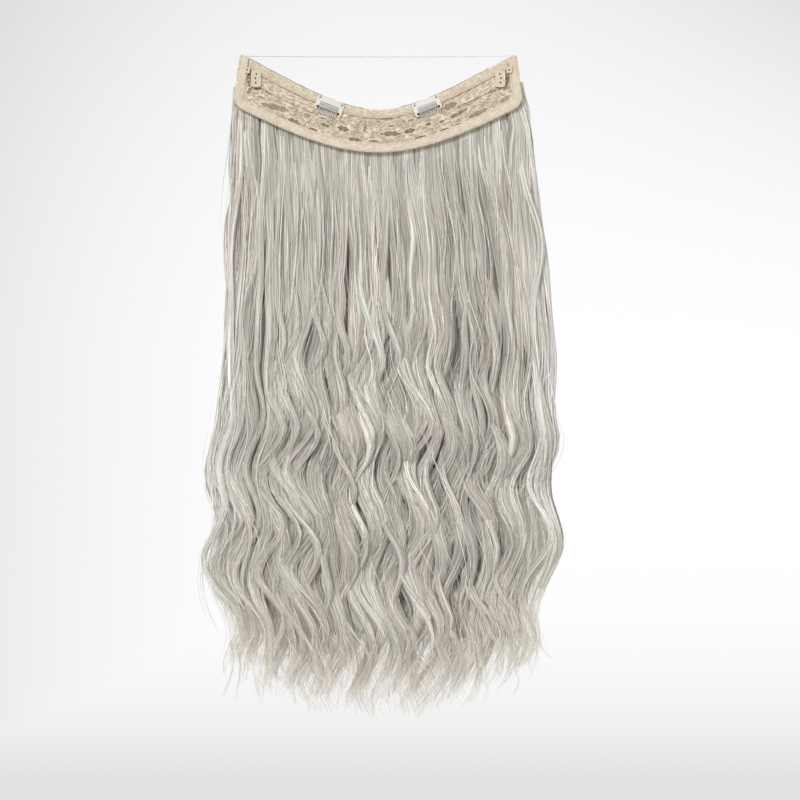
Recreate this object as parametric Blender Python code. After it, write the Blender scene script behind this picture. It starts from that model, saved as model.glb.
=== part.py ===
"""Halo hair extension: a crescent lace cap bound in tape, a clear halo wire
across its upper corners, two snap comb clips and three rows of hanging hair.
Seen from the head side along +Y; metres, +Z up, origin at the wire's middle."""
import math
import random

import bmesh
import bpy
from mathutils import Matrix, Vector

MM = 0.001

# Cap outline, as half widths, heights and the shape of its two edges
CAP_TOP_HALF = 121.5 * MM
CAP_BOTTOM_HALF = 128.0 * MM
CAP_TOP_DIP = -45.5 * MM
CAP_BOTTOM_DIP = -83.5 * MM
TOP_EDGE_SLOPE = 0.60
TOP_EDGE_ROUND = 50.0 * MM
BOTTOM_EDGE_SLOPE = 0.62
BOTTOM_EDGE_ROUND = 90.0 * MM
# How far the cap's middle stands behind the wire as the ends curve forward
CAP_DEPTH = 11.0 * MM
WIRE_REACH = CAP_TOP_HALF - 6.0 * MM

GAP = 0.3 * MM
LACE_THICK = 1.0 * MM
TAPE_THICK = 1.0 * MM
TAPE_FACE = LACE_THICK / 2 + GAP + TAPE_THICK
# Binding width as shares of the cap's half width and of its height
BIND_U = 0.064
BIND_V = 0.205
FOLD_SHARE = 0.25
# How far each outer corner is drawn in, as a share of the binding's width
TOP_CORNER_PULL = 0.12
LOW_CORNER_PULL = 0.30
BIND_SEGMENTS = 32
END_SEGMENTS = 4

LACE_EDGE_SHARE = 0.38
LACE_CORNER_SHARE = 0.78
LACE_COLUMNS = 54
LACE_ROWS = (0.27, 0.45, 0.56, 0.74)
LACE_GAP_ROWS = (1, 3)
# One leaf-shaped gap in the lace: shares across and down a two-column block
LACE_GAP = ((0.20, 0.30), (0.50, 0.18), (0.80, 0.30),
            (0.80, 0.70), (0.50, 0.82), (0.20, 0.70))

# Ribbon straps: inner and outer ends as shares of the half width
STRAPS = (("strap_left", -0.845, -0.43), ("strap_right", 0.56, 0.85))
STRAP_TOP = 0.225
STRAP_BOTTOM = 0.43
STRAP_SEGMENTS = 10

# Plates and anchors: how far in from the cap's end, and how far below its top edge
PLATE_INSET = 13.5 * MM
PLATE_DROP = 14.91 * MM
PLATE_SIZE = (9.0 * MM, 15.0 * MM)
PLATE_THICK = 0.8 * MM
PLATE_HOLES = ((-0.4, 4.0), (0.6, 0.3), (0.2, -3.6))
PLATE_HOLE = 1.7 * MM
ANCHOR_INSET = 5.7 * MM
ANCHOR_DROP = 11.68 * MM
ANCHOR_SIZE = (5.0 * MM, 5.6 * MM)
ANCHOR_HOLE = 1.6 * MM

# Where each clip sits, as a share of the cap's half width
CLIP_SHARE = 0.33745
CLIP_LENGTH = 25.0 * MM
CLIP_HEIGHT = 14.5 * MM
CLIP_THICK = 0.8 * MM
CLIP_LIFT = TAPE_FACE + 2 * GAP
CLIP_BAR = 5.0 * MM
CLIP_LEG = 4.0 * MM
CLIP_LEG_DROP = 12.6 * MM
CLIP_HOLE = 1.8 * MM
CLIP_HOLE_INSET = 2.3 * MM
CLIP_HOLE_DROPS = (2.2 * MM, 10.4 * MM)
COMB_AXIS_DROP = 6.0 * MM
COMB_SIDE_GAP = 0.4 * MM
COMB_HALF = CLIP_LENGTH / 2 - CLIP_LEG - COMB_SIDE_GAP
COMB_SPINE = (5.5 * MM, 7.6 * MM)
COMB_TEETH = 9
TOOTH_WIDTH = 1.0 * MM
GRIP_DROPS = (6.5 * MM, 10.5 * MM)
GRIP_HALF = COMB_HALF - 0.5 * MM
GRIP_BASE = 0.6 * MM
GRIP_RIB = 1.2 * MM
GRIP_RIBS = 9

WIRE_DIAMETER = 0.6 * MM
WIRE_SAG = 0.8 * MM
WIRE_INSET = 4.9 * MM
WIRE_HALF = CAP_TOP_HALF - WIRE_INSET
WIRE_POINTS = 48

# Hair outline: height, then the left and right edge of the hair there
HAIR_OUTLINE = (
    (-40 * MM, -129 * MM, 131 * MM),
    (-82 * MM, -130 * MM, 136 * MM),
    (-170 * MM, -135 * MM, 146 * MM),
    (-258 * MM, -138 * MM, 154 * MM),
    (-337 * MM, -146 * MM, 156 * MM),
    (-443 * MM, -148 * MM, 153 * MM),
    (-495 * MM, -138 * MM, 146 * MM),
    (-583 * MM, -128 * MM, 132 * MM),
)
WAVE_LENGTH = 97.0 * MM
WAVE_START = -170.0 * MM
WAVE_FULL = -330.0 * MM
WAVE_SWAY = 9.0 * MM
WAVE_DEPTH = 2.4 * MM
# Height of the hair's mean tips below the wire
HAIR_TIP = -560.0 * MM
TRACK_FACE = TAPE_FACE + GAP
TRACK_THICK = 2.0 * MM
FULL_DROP = 20.0 * MM
LOCK_EDGE_SHARE = 0.34
TIP_THICK = 1.4 * MM
TIP_WIDTH_SHARE = 0.16
SLIT_WIDTH_SHARE = 0.93
# Rows of faces lie closer together toward the tips, where the waves are
ROW_CROWDING = 0.35
# Share of the cap's curve that the hair loses as it hangs free
FLATTENING = 0.5
SETTLING_DROP = 90.0 * MM
# Rows of hair: top and bottom of the sewn track on the cap, half width share,
# locks, rows of faces below the cap, and the mean depth and thickness there
WEFTS = (
    dict(name="hair_lower_row", top=0.86, end=1.0, reach=0.985, locks=16, rows=21,
         on_cap=(), back=6.6 * MM, thick=6.6 * MM, tip=HAIR_TIP, seed=3),
    dict(name="hair_middle_row", top=0.70, end=0.82, reach=0.92, locks=10, rows=16,
         on_cap=((0.86, 6.2 * MM), (1.0, 7.0 * MM)),
         back=14.6 * MM, thick=6.0 * MM, tip=HAIR_TIP - 10 * MM, seed=7),
    dict(name="hair_upper_row", top=0.46, end=0.58, reach=0.74, locks=10, rows=16,
         on_cap=((0.70, 6.4 * MM), (0.82, 7.6 * MM), (0.86, 9.4 * MM), (1.0, 10.2 * MM)),
         back=22.4 * MM, thick=6.0 * MM, tip=HAIR_TIP + 2 * MM, seed=11),
)
TIP_SPREAD = 13.0 * MM

# Finish of each kind of piece: base colour, roughness, metallic
FINISHES = {
    "lace": ((0.70, 0.55, 0.36, 1), 0.85, 0.0),
    "tape": ((0.78, 0.64, 0.44, 1), 0.75, 0.0),
    "tab": ((0.80, 0.66, 0.47, 1), 0.5, 0.0),
    "clip_steel": ((0.82, 0.81, 0.78, 1), 0.3, 0.9),
    "grip_silicone": ((0.80, 0.82, 0.84, 1), 0.45, 0.0),
    "wire_nylon": ((0.85, 0.88, 0.88, 1), 0.15, 0.0),
    "hair_fibre": ((0.56, 0.54, 0.48, 1), 0.5, 0.0),
}


def clear_scene():
    for item in list(bpy.data.objects):
        bpy.data.objects.remove(item, do_unlink=True)


def finish(name):
    """The named finish as a material, made once."""
    if name in bpy.data.materials:
        return bpy.data.materials[name]
    colour, roughness, metallic = FINISHES[name]
    material = bpy.data.materials.new(name)
    material.use_nodes = True
    shader = material.node_tree.nodes["Principled BSDF"]
    shader.inputs["Base Color"].default_value = colour
    shader.inputs["Roughness"].default_value = roughness
    shader.inputs["Metallic"].default_value = metallic
    return material


def edge_height(x, dip, slope, roundness):
    """Height of a U-shaped edge that is round at its middle and straight at its ends."""
    return dip + slope * roundness * (math.hypot(1, x / roundness) - 1)


def top_height(x):
    return edge_height(x, CAP_TOP_DIP, TOP_EDGE_SLOPE, TOP_EDGE_ROUND)


def top_edge(u):
    x = CAP_TOP_HALF * u
    return x, top_height(x)


def bottom_edge(u):
    x = CAP_BOTTOM_HALF * u
    return x, edge_height(x, CAP_BOTTOM_DIP, BOTTOM_EDGE_SLOPE, BOTTOM_EDGE_ROUND)


def cap_flat(u, v):
    """Front-view place on the cap: u across from -1 to 1, v from its top edge to its bottom."""
    top_x, top_z = top_edge(u)
    low_x, low_z = bottom_edge(u)
    return top_x + (low_x - top_x) * v, top_z + (low_z - top_z) * v


def cap_back(x):
    """How far behind the wire the cap's middle surface lies."""
    return CAP_DEPTH * (1 - (x / WIRE_REACH) ** 2)


def head_normal(x):
    slope = -2 * CAP_DEPTH * x / WIRE_REACH ** 2
    return Vector((slope, -1, 0)).normalized()


def on_cap(x, z, lift):
    """A point lifted off the cap's middle surface toward the head."""
    return Vector((x, cap_back(x), z)) + head_normal(x) * lift


def cap_point(u, v, lift):
    x, z = cap_flat(u, v)
    return on_cap(x, z, lift)


def add_object(name, data, finish_name):
    data.materials.append(finish(finish_name))
    item = bpy.data.objects.new(name, data)
    bpy.context.scene.collection.objects.link(item)
    return item


def mesh_object(name, body, finish_name, smooth_angle=35):
    bmesh.ops.recalc_face_normals(body, faces=body.faces)
    mesh = bpy.data.meshes.new(name)
    body.to_mesh(mesh)
    body.free()
    mesh.shade_smooth()
    mesh.set_sharp_from_angle(angle=math.radians(smooth_angle))
    return add_object(name, mesh, finish_name)


def walled_sheet(faces, front, back):
    """A closed body from a flat layout: each face on both sides, and a wall on each free edge."""
    body = bmesh.new()
    near = {key: body.verts.new(place) for key, place in front.items()}
    far = {key: body.verts.new(place) for key, place in back.items()}
    free_edges = {}
    for face in faces:
        body.faces.new([near[key] for key in face])
        body.faces.new([far[key] for key in reversed(face)])
        for start, end in zip(face, face[1:] + face[:1]):
            if (end, start) in free_edges:
                del free_edges[(end, start)]
            else:
                free_edges[(start, end)] = True
    for start, end in free_edges:
        body.faces.new((near[end], near[start], far[start], far[end]))
    return body


def binding_loop():
    """Pairs of outer and inner places round the cap's edge, in u and v."""
    pairs = []
    inner_u = 1 - BIND_U
    for i in range(BIND_SEGMENTS):
        u = -1 + 2 * i / BIND_SEGMENTS
        pairs.append(((u, 0), (u * inner_u, BIND_V)))
    for i in range(END_SEGMENTS):
        v = i / END_SEGMENTS
        pairs.append(((1, v), (inner_u, BIND_V + (1 - 2 * BIND_V) * v)))
    for i in range(BIND_SEGMENTS):
        u = 1 - 2 * i / BIND_SEGMENTS
        pairs.append(((u, 1), (u * inner_u, 1 - BIND_V)))
    for i in range(END_SEGMENTS):
        v = 1 - i / END_SEGMENTS
        pairs.append(((-1, v), (-inner_u, BIND_V + (1 - 2 * BIND_V) * v)))
    for index, ((u, v), inner) in enumerate(pairs):
        if abs(u) == 1 and v in (0, 1):
            pull = TOP_CORNER_PULL if v == 0 else LOW_CORNER_PULL
            rounded = (u + (inner[0] - u) * pull, v + (inner[1] - v) * pull)
            pairs[index] = (rounded, inner)
    return pairs


def make_binding():
    """Tape folded over the lace's edge all the way round, open toward the lace."""
    slot = LACE_THICK / 2 + GAP
    section = ((0, -TAPE_FACE), (1, -TAPE_FACE), (1, -slot), (FOLD_SHARE, -slot),
               (FOLD_SHARE, slot), (1, slot), (1, TAPE_FACE), (0, TAPE_FACE))
    body = bmesh.new()
    rings = []
    for outer, inner in binding_loop():
        ring = []
        for share, lift in section:
            u = outer[0] + (inner[0] - outer[0]) * share
            v = outer[1] + (inner[1] - outer[1]) * share
            ring.append(body.verts.new(cap_point(u, v, lift)))
        rings.append(ring)
    for ring, following in zip(rings, rings[1:] + rings[:1]):
        for i in range(len(section)):
            j = (i + 1) % len(section)
            body.faces.new((ring[i], ring[j], following[j], following[i]))
    return mesh_object("edge_binding", body, "tape")


def lace_place(column, v):
    """Place of a lace grid corner, with the four outer corners drawn in to the round."""
    edge_v = BIND_V * LACE_EDGE_SHARE
    reach = 1 - BIND_U * LACE_EDGE_SHARE
    u = reach * (-1 + 2 * column / LACE_COLUMNS)
    if column in (0, LACE_COLUMNS) and v in (edge_v, 1 - edge_v):
        u *= (1 - BIND_U * LACE_CORNER_SHARE) / reach
        v = BIND_V * LACE_CORNER_SHARE if v < 0.5 else 1 - BIND_V * LACE_CORNER_SHARE
    return u, v


def make_lace():
    """Lace panel between the bindings, pierced by two staggered rows of leaf-shaped gaps."""
    edge_v = BIND_V * LACE_EDGE_SHARE
    levels = (edge_v,) + LACE_ROWS + (1 - edge_v,)
    places = {}
    for column in range(LACE_COLUMNS + 1):
        for row, v in enumerate(levels):
            places[(column, row)] = lace_place(column, v)
    faces = []
    for row in range(len(levels) - 1):
        shift = 3 if row == LACE_GAP_ROWS[0] else 1
        column = 0
        while column < LACE_COLUMNS:
            pierced = row in LACE_GAP_ROWS and (column - shift) % 4 == 0
            if pierced and shift <= column <= LACE_COLUMNS - 3:
                faces += gap_faces(places, column, row)
                column += 2
            else:
                faces.append([(column, row), (column, row + 1),
                              (column + 1, row + 1), (column + 1, row)])
                column += 1
    half = LACE_THICK / 2
    front = {key: cap_point(*place, half) for key, place in places.items()}
    back = {key: cap_point(*place, -half) for key, place in places.items()}
    return mesh_object("lace_panel", walled_sheet(faces, front, back), "lace")


def gap_faces(places, column, row):
    """Six faces round one gap in a block of two columns."""
    block = [(column, row), (column + 1, row), (column + 2, row),
             (column + 2, row + 1), (column + 1, row + 1), (column, row + 1)]
    left, top = places[block[0]]
    right, low = places[block[3]]
    rim = []
    for index, (across, down) in enumerate(LACE_GAP):
        key = ("gap", column, row, index)
        places[key] = (left + (right - left) * across, top + (low - top) * down)
        rim.append(key)
    faces = []
    for i in range(len(block)):
        j = (i + 1) % len(block)
        faces.append([block[i], rim[i], rim[j], block[j]])
    return faces


def make_strap(name, start, end):
    """A ribbon strap sewn along the lace just below the top binding."""
    near = LACE_THICK / 2 + GAP
    front, back, faces = {}, {}, []
    for i in range(STRAP_SEGMENTS + 1):
        u = start + (end - start) * i / STRAP_SEGMENTS
        for j, v in enumerate((STRAP_TOP, STRAP_BOTTOM)):
            front[(i, j)] = cap_point(u, v, near + TAPE_THICK)
            back[(i, j)] = cap_point(u, v, near)
    for i in range(STRAP_SEGMENTS):
        faces.append([(i, 0), (i, 1), (i + 1, 1), (i + 1, 0)])
    return mesh_object(name, walled_sheet(faces, front, back), "tape")


def cap_frame(x, z, tilt, lift):
    """Axes on the cap: X along it, Y up it and Z toward the head."""
    out = head_normal(x)
    level = Vector((0, 0, 1)).cross(out).normalized()
    along = level * math.cos(tilt) + Vector((0, 0, 1)) * math.sin(tilt)
    up = out.cross(along)
    place = on_cap(x, z, lift)
    frame = Matrix((along, up, out)).transposed().to_4x4()
    frame.translation = place
    return frame


def circle(centre, diameter, sides=10):
    points = []
    for i in range(sides):
        angle = -2 * math.pi * i / sides
        points.append((centre[0] + diameter / 2 * math.cos(angle),
                       centre[1] + diameter / 2 * math.sin(angle)))
    return points


def cut_sheet(name, outlines, thickness, frame, finish_name):
    """A flat plate: the first outline is its edge and the others are holes through it."""
    outline = bpy.data.curves.new(name, "CURVE")
    outline.dimensions = "2D"
    outline.fill_mode = "BOTH"
    outline.extrude = thickness / 2
    for points in outlines:
        spline = outline.splines.new("POLY")
        spline.points.add(len(points) - 1)
        for point, (x, y) in zip(spline.points, points):
            point.co = (x, y, 0, 1)
        spline.use_cyclic_u = True
    item = add_object(name, outline, finish_name)
    item.matrix_world = frame
    return item


def rounded_box(half_x, half_y, radius):
    """Rectangle outline with a 3-point round at each corner, anticlockwise."""
    points = []
    for sign_x, sign_y, start in ((1, 1, 0), (-1, 1, 90), (-1, -1, 180), (1, -1, 270)):
        for step in (0, 45, 90):
            angle = math.radians(start + step)
            points.append((sign_x * (half_x - radius) + radius * math.cos(angle),
                           sign_y * (half_y - radius) + radius * math.sin(angle)))
    return points


def make_end_tabs(side, sign):
    """The adjuster plate with its three holes, and the small square wire anchor."""
    lift = TAPE_FACE + GAP + PLATE_THICK / 2 + 0.1 * MM
    holes = [circle((sign * x * MM, y * MM), PLATE_HOLE) for x, y in PLATE_HOLES]
    edge = rounded_box(PLATE_SIZE[0] / 2, PLATE_SIZE[1] / 2, 2.2 * MM)
    x = CAP_TOP_HALF - PLATE_INSET
    frame = cap_frame(sign * x, top_height(x) - PLATE_DROP, 0, lift)
    cut_sheet("adjuster_plate_" + side, [edge] + holes, PLATE_THICK, frame, "tab")
    edge = rounded_box(ANCHOR_SIZE[0] / 2, ANCHOR_SIZE[1] / 2, 0.7 * MM)
    x = CAP_TOP_HALF - ANCHOR_INSET
    frame = cap_frame(sign * x, top_height(x) - ANCHOR_DROP, 0, lift)
    cut_sheet("wire_anchor_" + side, [edge, circle((0, 0), ANCHOR_HOLE)], PLATE_THICK,
              frame, "tab")


def clip_outline():
    """Clip frame: a bar across the top with a leg at each end, measured down from its top edge."""
    half = CLIP_LENGTH / 2
    inner = half - CLIP_LEG
    foot = CLIP_LEG / 2
    cut = 1.1 * MM
    right = [(half - cut, 0), (half, -cut), (half, -CLIP_LEG_DROP + foot),
             (half - foot / 2, -CLIP_LEG_DROP + foot / 4), (half - foot, -CLIP_LEG_DROP),
             (inner + foot / 2, -CLIP_LEG_DROP + foot / 4), (inner, -CLIP_LEG_DROP + foot),
             (inner, -CLIP_BAR)]
    left = [(-x, y) for x, y in reversed(right)]
    return list(reversed(right + left))


def comb_outline():
    """Comb blade: a spine with teeth that narrow to their tips, about the hinge axis."""
    top = COMB_AXIS_DROP - COMB_SPINE[0]
    low = COMB_AXIS_DROP - COMB_SPINE[1]
    tip = COMB_AXIS_DROP - CLIP_HEIGHT
    points = [(COMB_HALF, top), (-COMB_HALF, top), (-COMB_HALF, low)]
    pitch = (2 * COMB_HALF - TOOTH_WIDTH) / (COMB_TEETH - 1)
    for i in range(COMB_TEETH):
        x = -COMB_HALF + TOOTH_WIDTH / 2 + pitch * i
        half = TOOTH_WIDTH / 2
        if i > 0:
            points.append((x - half, low))
        points.append((x - half * 0.55, tip))
        points.append((x + half * 0.55, tip))
        points.append((x + half, low))
    return points


def grip_outline():
    """Ribbed silicone grip in section: flat beneath, a row of round ribs on top."""
    base = CLIP_THICK / 2 + GAP
    points = [(-GRIP_HALF, base), (GRIP_HALF, base)]
    pitch = 2 * GRIP_HALF / GRIP_RIBS
    for i in range(GRIP_RIBS):
        x = GRIP_HALF - pitch * i
        points.append((x, base + GRIP_BASE))
        points.append((x - 0.28 * pitch, base + GRIP_RIB))
        points.append((x - 0.72 * pitch, base + GRIP_RIB))
    points.append((-GRIP_HALF, base + GRIP_BASE))
    return points


def make_clip(side, sign):
    """A snap comb clip sewn at the cap's top edge, its comb closed against the cap."""
    x = sign * CLIP_SHARE * CAP_TOP_HALF
    z = top_height(x)
    tilt = math.atan(TOP_EDGE_SLOPE * (x / TOP_EDGE_ROUND) / math.hypot(1, x / TOP_EDGE_ROUND))
    frame = cap_frame(x, z, tilt, CLIP_LIFT + CLIP_THICK / 2)
    hole_x = CLIP_LENGTH / 2 - CLIP_HOLE_INSET
    holes = [circle((a, -drop), CLIP_HOLE)
             for a in (-hole_x, hole_x) for drop in CLIP_HOLE_DROPS]
    cut_sheet("clip_frame_" + side, [clip_outline()] + holes, CLIP_THICK, frame, "clip_steel")
    hinge = frame @ Matrix.Translation((0, -COMB_AXIS_DROP, 0))
    comb = cut_sheet("clip_comb_" + side, [comb_outline()], CLIP_THICK, hinge, "clip_steel")
    middle = COMB_AXIS_DROP - (GRIP_DROPS[0] + GRIP_DROPS[1]) / 2
    turned = Matrix.Translation((0, middle, 0)) @ Matrix.Rotation(math.pi / 2, 4, "X")
    grip = cut_sheet("clip_grip_" + side, [grip_outline()], GRIP_DROPS[1] - GRIP_DROPS[0],
                     hinge @ turned, "grip_silicone")
    grip.parent = comb
    grip.matrix_parent_inverse = hinge.inverted()


def make_wire():
    """Clear halo wire drawn nearly straight from one upper corner of the cap to the other."""
    wire = bpy.data.curves.new("halo_wire", "CURVE")
    wire.dimensions = "3D"
    wire.bevel_depth = WIRE_DIAMETER / 2
    wire.bevel_resolution = 2
    wire.use_fill_caps = True
    spline = wire.splines.new("POLY")
    spline.points.add(WIRE_POINTS - 1)
    for i, point in enumerate(spline.points):
        share = -1 + 2 * i / (WIRE_POINTS - 1)
        point.co = (WIRE_HALF * share, 0, WIRE_SAG * share * share, 1)
    return add_object("halo_wire", wire, "wire_nylon")


def read_table(table, height):
    """Left and right hair edges at a height, by straight lines between rows."""
    if height >= table[0][0]:
        return table[0][1:]
    for (high, *above), (low, *below) in zip(table, table[1:]):
        if height >= low:
            share = (high - height) / (high - low)
            return [a + (b - a) * share for a, b in zip(above, below)]
    return table[-1][1:]


def ease(share):
    share = min(max(share, 0), 1)
    return share * share * (3 - 2 * share)


def wave_phase(across, height):
    return 2 * math.pi * (height - WAVE_START) / WAVE_LENGTH + 1.1 * math.sin(2.6 * across)


def hair_sway(across, height):
    """Sideways shift of the waves, none near the cap and full in the lower half."""
    strength = ease((WAVE_START - height) / (WAVE_START - WAVE_FULL))
    return WAVE_SWAY * strength * math.sin(wave_phase(across, height))


def hair_billow(across, height):
    strength = ease((WAVE_START - height) / (WAVE_START - WAVE_FULL))
    return WAVE_DEPTH * strength * math.cos(wave_phase(across, height))


def hair_back(x, height):
    """Depth of the surface that the rows hang along: the cap's curve, flatter lower down."""
    lost = FLATTENING * ease((CAP_BOTTOM_DIP - height) / SETTLING_DROP)
    return CAP_DEPTH * (1 - (1 - lost) * (x / WIRE_REACH) ** 2)


class Curtain:
    """One row of hair: locks that are joined above and part toward their tips."""

    def __init__(self, weft):
        self.weft = weft
        self.near, self.far, self.faces = {}, {}, []
        self.locks, self.rows = weft["locks"], weft["rows"]
        self.cap_levels = [weft["top"], weft["end"]] + [v for v, _ in weft["on_cap"]]
        if self.cap_levels[-1] < 1:
            self.cap_levels.append(1.0)
        self.start_row = len(self.cap_levels) - 1
        self.last_row = self.start_row + self.rows
        draw = random.Random(weft["seed"])
        self.tips = [weft["tip"] + draw.uniform(-1, 1) * TIP_SPREAD - 8 * MM * math.cos(
            math.pi * (i + 0.5 - self.locks / 2) / self.locks) for i in range(self.locks)]
        first_slit = self.start_row + round(0.55 * self.rows)
        self.slits = [draw.randint(first_slit, first_slit + 3) for _ in range(self.locks + 1)]

    def section(self, row):
        """Middle depth and thickness of a row at a lock's centre."""
        if row <= 1:
            return TRACK_FACE + TRACK_THICK / 2, TRACK_THICK
        if row <= self.start_row:
            return self.weft["on_cap"][row - 2][1], TRACK_THICK
        drop = (row - self.start_row) / self.rows
        thick = self.weft["thick"]
        if row > self.start_row + 1:
            thick += (TIP_THICK - thick) * ease((drop - 0.55) / 0.45)
        return self.weft["back"], thick

    def height(self, across, row, tip):
        low = bottom_edge(self.weft["reach"] * across)[1]
        if row <= self.start_row:
            return cap_flat(self.weft["reach"] * across, self.cap_levels[row])[1]
        first = low - FULL_DROP
        share = (row - self.start_row - 1) / (self.rows - 1)
        share *= 1 + ROW_CROWDING * (1 - share)
        return first + (tip - first) * share

    def centre(self, across, row, height):
        if row <= self.start_row:
            return cap_flat(self.weft["reach"] * across, self.cap_levels[row])[0]
        left, right = read_table(HAIR_OUTLINE, height)
        settled = ease((bottom_edge(across)[1] - height) / SETTLING_DROP)
        spread = self.weft["reach"] + (1 - self.weft["reach"]) * settled
        middle, half = (left + right) / 2, (right - left) / 2 - 5 * MM
        hanging = middle + half * spread * across
        sewn = bottom_edge(self.weft["reach"] * across)[0]
        return sewn + (hanging - sewn) * settled + hair_sway(across, height)

    def lock_width(self, row, slit):
        """Share of its full width that a lock keeps on one side."""
        if row <= slit:
            return 1.0
        share = (row - slit - 1) / max(self.last_row - slit - 1, 1)
        return SLIT_WIDTH_SHARE + (TIP_WIDTH_SHARE - SLIT_WIDTH_SHARE) * share ** 2.4

    def put(self, key, across, row, tip, thin):
        height = self.height(across, row, tip)
        x = self.centre(across, row, height)
        depth, thick = self.section(row)
        if thin and row > 1:
            thick *= LOCK_EDGE_SHARE
        y = hair_back(x, height) + depth + hair_billow(across, height)
        self.near[key] = Vector((x, y - thick / 2, height))
        self.far[key] = Vector((x, y + thick / 2, height))

    def side_key(self, lock, edge, row):
        """Edges of neighbouring locks share a corner down to the slit between them."""
        boundary = lock + (edge > 0)
        inside = 0 < boundary < self.locks
        if inside and row <= self.slits[boundary]:
            return ("shared", boundary, row)
        return ("side", lock, edge, row)

    def build(self):
        for lock in range(self.locks):
            middle = -1 + (2 * lock + 1) / self.locks
            for row in range(self.last_row + 1):
                self.put(("middle", lock, row), middle, row, self.tips[lock], False)
                for edge in (-1, 1):
                    boundary = lock + (edge > 0)
                    key = self.side_key(lock, edge, row)
                    width = self.lock_width(row, self.slits[boundary])
                    tip = self.tips[lock]
                    if key[0] == "shared":
                        tip = (self.tips[boundary - 1] + self.tips[boundary]) / 2
                    self.put(key, middle + edge * width / self.locks, row, tip, True)
            for row in range(self.last_row):
                left = [self.side_key(lock, -1, row), self.side_key(lock, -1, row + 1)]
                right = [self.side_key(lock, 1, row), self.side_key(lock, 1, row + 1)]
                centre = [("middle", lock, row), ("middle", lock, row + 1)]
                self.faces.append([left[0], left[1], centre[1], centre[0]])
                self.faces.append([centre[0], centre[1], right[1], right[0]])
        body = walled_sheet(self.faces, self.near, self.far)
        return mesh_object(self.weft["name"], body, "hair_fibre", 60)


def main():
    clear_scene()
    make_lace()
    make_binding()
    for name, start, end in STRAPS:
        make_strap(name, start, end)
    for side, sign in (("left", -1), ("right", 1)):
        make_end_tabs(side, sign)
        make_clip(side, sign)
    make_wire()
    for weft in WEFTS:
        Curtain(weft).build()


main()
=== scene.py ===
"""Looks of the halo hair extension: hair, lace cap, clips, wire, light and camera."""
import math

import bmesh
import bpy
import numpy as np
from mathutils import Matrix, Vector


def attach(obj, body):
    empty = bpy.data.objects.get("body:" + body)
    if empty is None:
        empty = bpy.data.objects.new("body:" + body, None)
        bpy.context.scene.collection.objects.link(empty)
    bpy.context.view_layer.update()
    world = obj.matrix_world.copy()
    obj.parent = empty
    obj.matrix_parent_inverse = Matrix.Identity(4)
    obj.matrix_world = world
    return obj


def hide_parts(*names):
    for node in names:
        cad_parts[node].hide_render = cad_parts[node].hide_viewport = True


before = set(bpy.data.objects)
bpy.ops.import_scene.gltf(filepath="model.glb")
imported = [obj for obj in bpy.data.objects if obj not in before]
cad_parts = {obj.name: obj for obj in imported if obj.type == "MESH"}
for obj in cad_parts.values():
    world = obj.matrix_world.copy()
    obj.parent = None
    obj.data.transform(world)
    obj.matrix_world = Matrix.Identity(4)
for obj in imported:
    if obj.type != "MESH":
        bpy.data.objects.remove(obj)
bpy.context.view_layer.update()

MM = 0.001
TAU = 2 * math.pi

# View of the photo: one pixel at the object, and the image's centre there
PIXEL = 0.88 * MM
IMAGE_PIXELS = 800
VIEW_CENTRE = Vector((19.2 * MM, 0, -301.8 * MM))
CAMERA_DISTANCE = 3.6
SENSOR = 36.0

# The cap's two edges (dip, slope and roundness) and its curve in depth, as in the part
CAP_TOP_HALF = 121.5 * MM
CAP_BOTTOM_HALF = 128.0 * MM
CAP_BOTTOM_DIP = -83.5 * MM
TOP_EDGE = (-45.5 * MM, 0.60, 50.0 * MM)
BOTTOM_EDGE = (CAP_BOTTOM_DIP, 0.62, 90.0 * MM)
CAP_DEPTH = 11.0 * MM
WIRE_REACH = 115.5 * MM
GAP = 0.3 * MM
LACE_HALF = 0.5 * MM
TAPE_FACE = 1.8 * MM
# The tape's width as a share of the cap's half width and of its height
BIND_U = 0.064
BIND_V = 0.205
FOLD_SHARE = 0.25
LACE_EDGE_SHARE = 0.38


def edge_height(x, dip, slope, roundness):
    return dip + slope * roundness * (np.sqrt(1 + (x / roundness) ** 2) - 1)


def top_edge(u):
    x = CAP_TOP_HALF * np.asarray(u, float)
    return x, edge_height(x, *TOP_EDGE)


def bottom_edge(u):
    x = CAP_BOTTOM_HALF * np.asarray(u, float)
    return x, edge_height(x, *BOTTOM_EDGE)


def cap_flat(u, v):
    """Places on the cap seen from the front: u from end to end, v from its top edge down."""
    top_x, top_z = top_edge(u)
    low_x, low_z = bottom_edge(u)
    return top_x + (low_x - top_x) * v, top_z + (low_z - top_z) * v


def lifted(x, z, lift):
    """Points lifted off the cap's middle surface toward the head."""
    slope = -2 * CAP_DEPTH * x / WIRE_REACH ** 2
    length = np.sqrt(1 + slope ** 2)
    y = CAP_DEPTH * (1 - (x / WIRE_REACH) ** 2)
    return np.stack([x + lift * slope / length, y - lift / length, z + 0 * x], axis=-1)


def ease(share):
    share = np.clip(share, 0, 1)
    return share * share * (3 - 2 * share)


# Meshes from arrays

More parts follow.
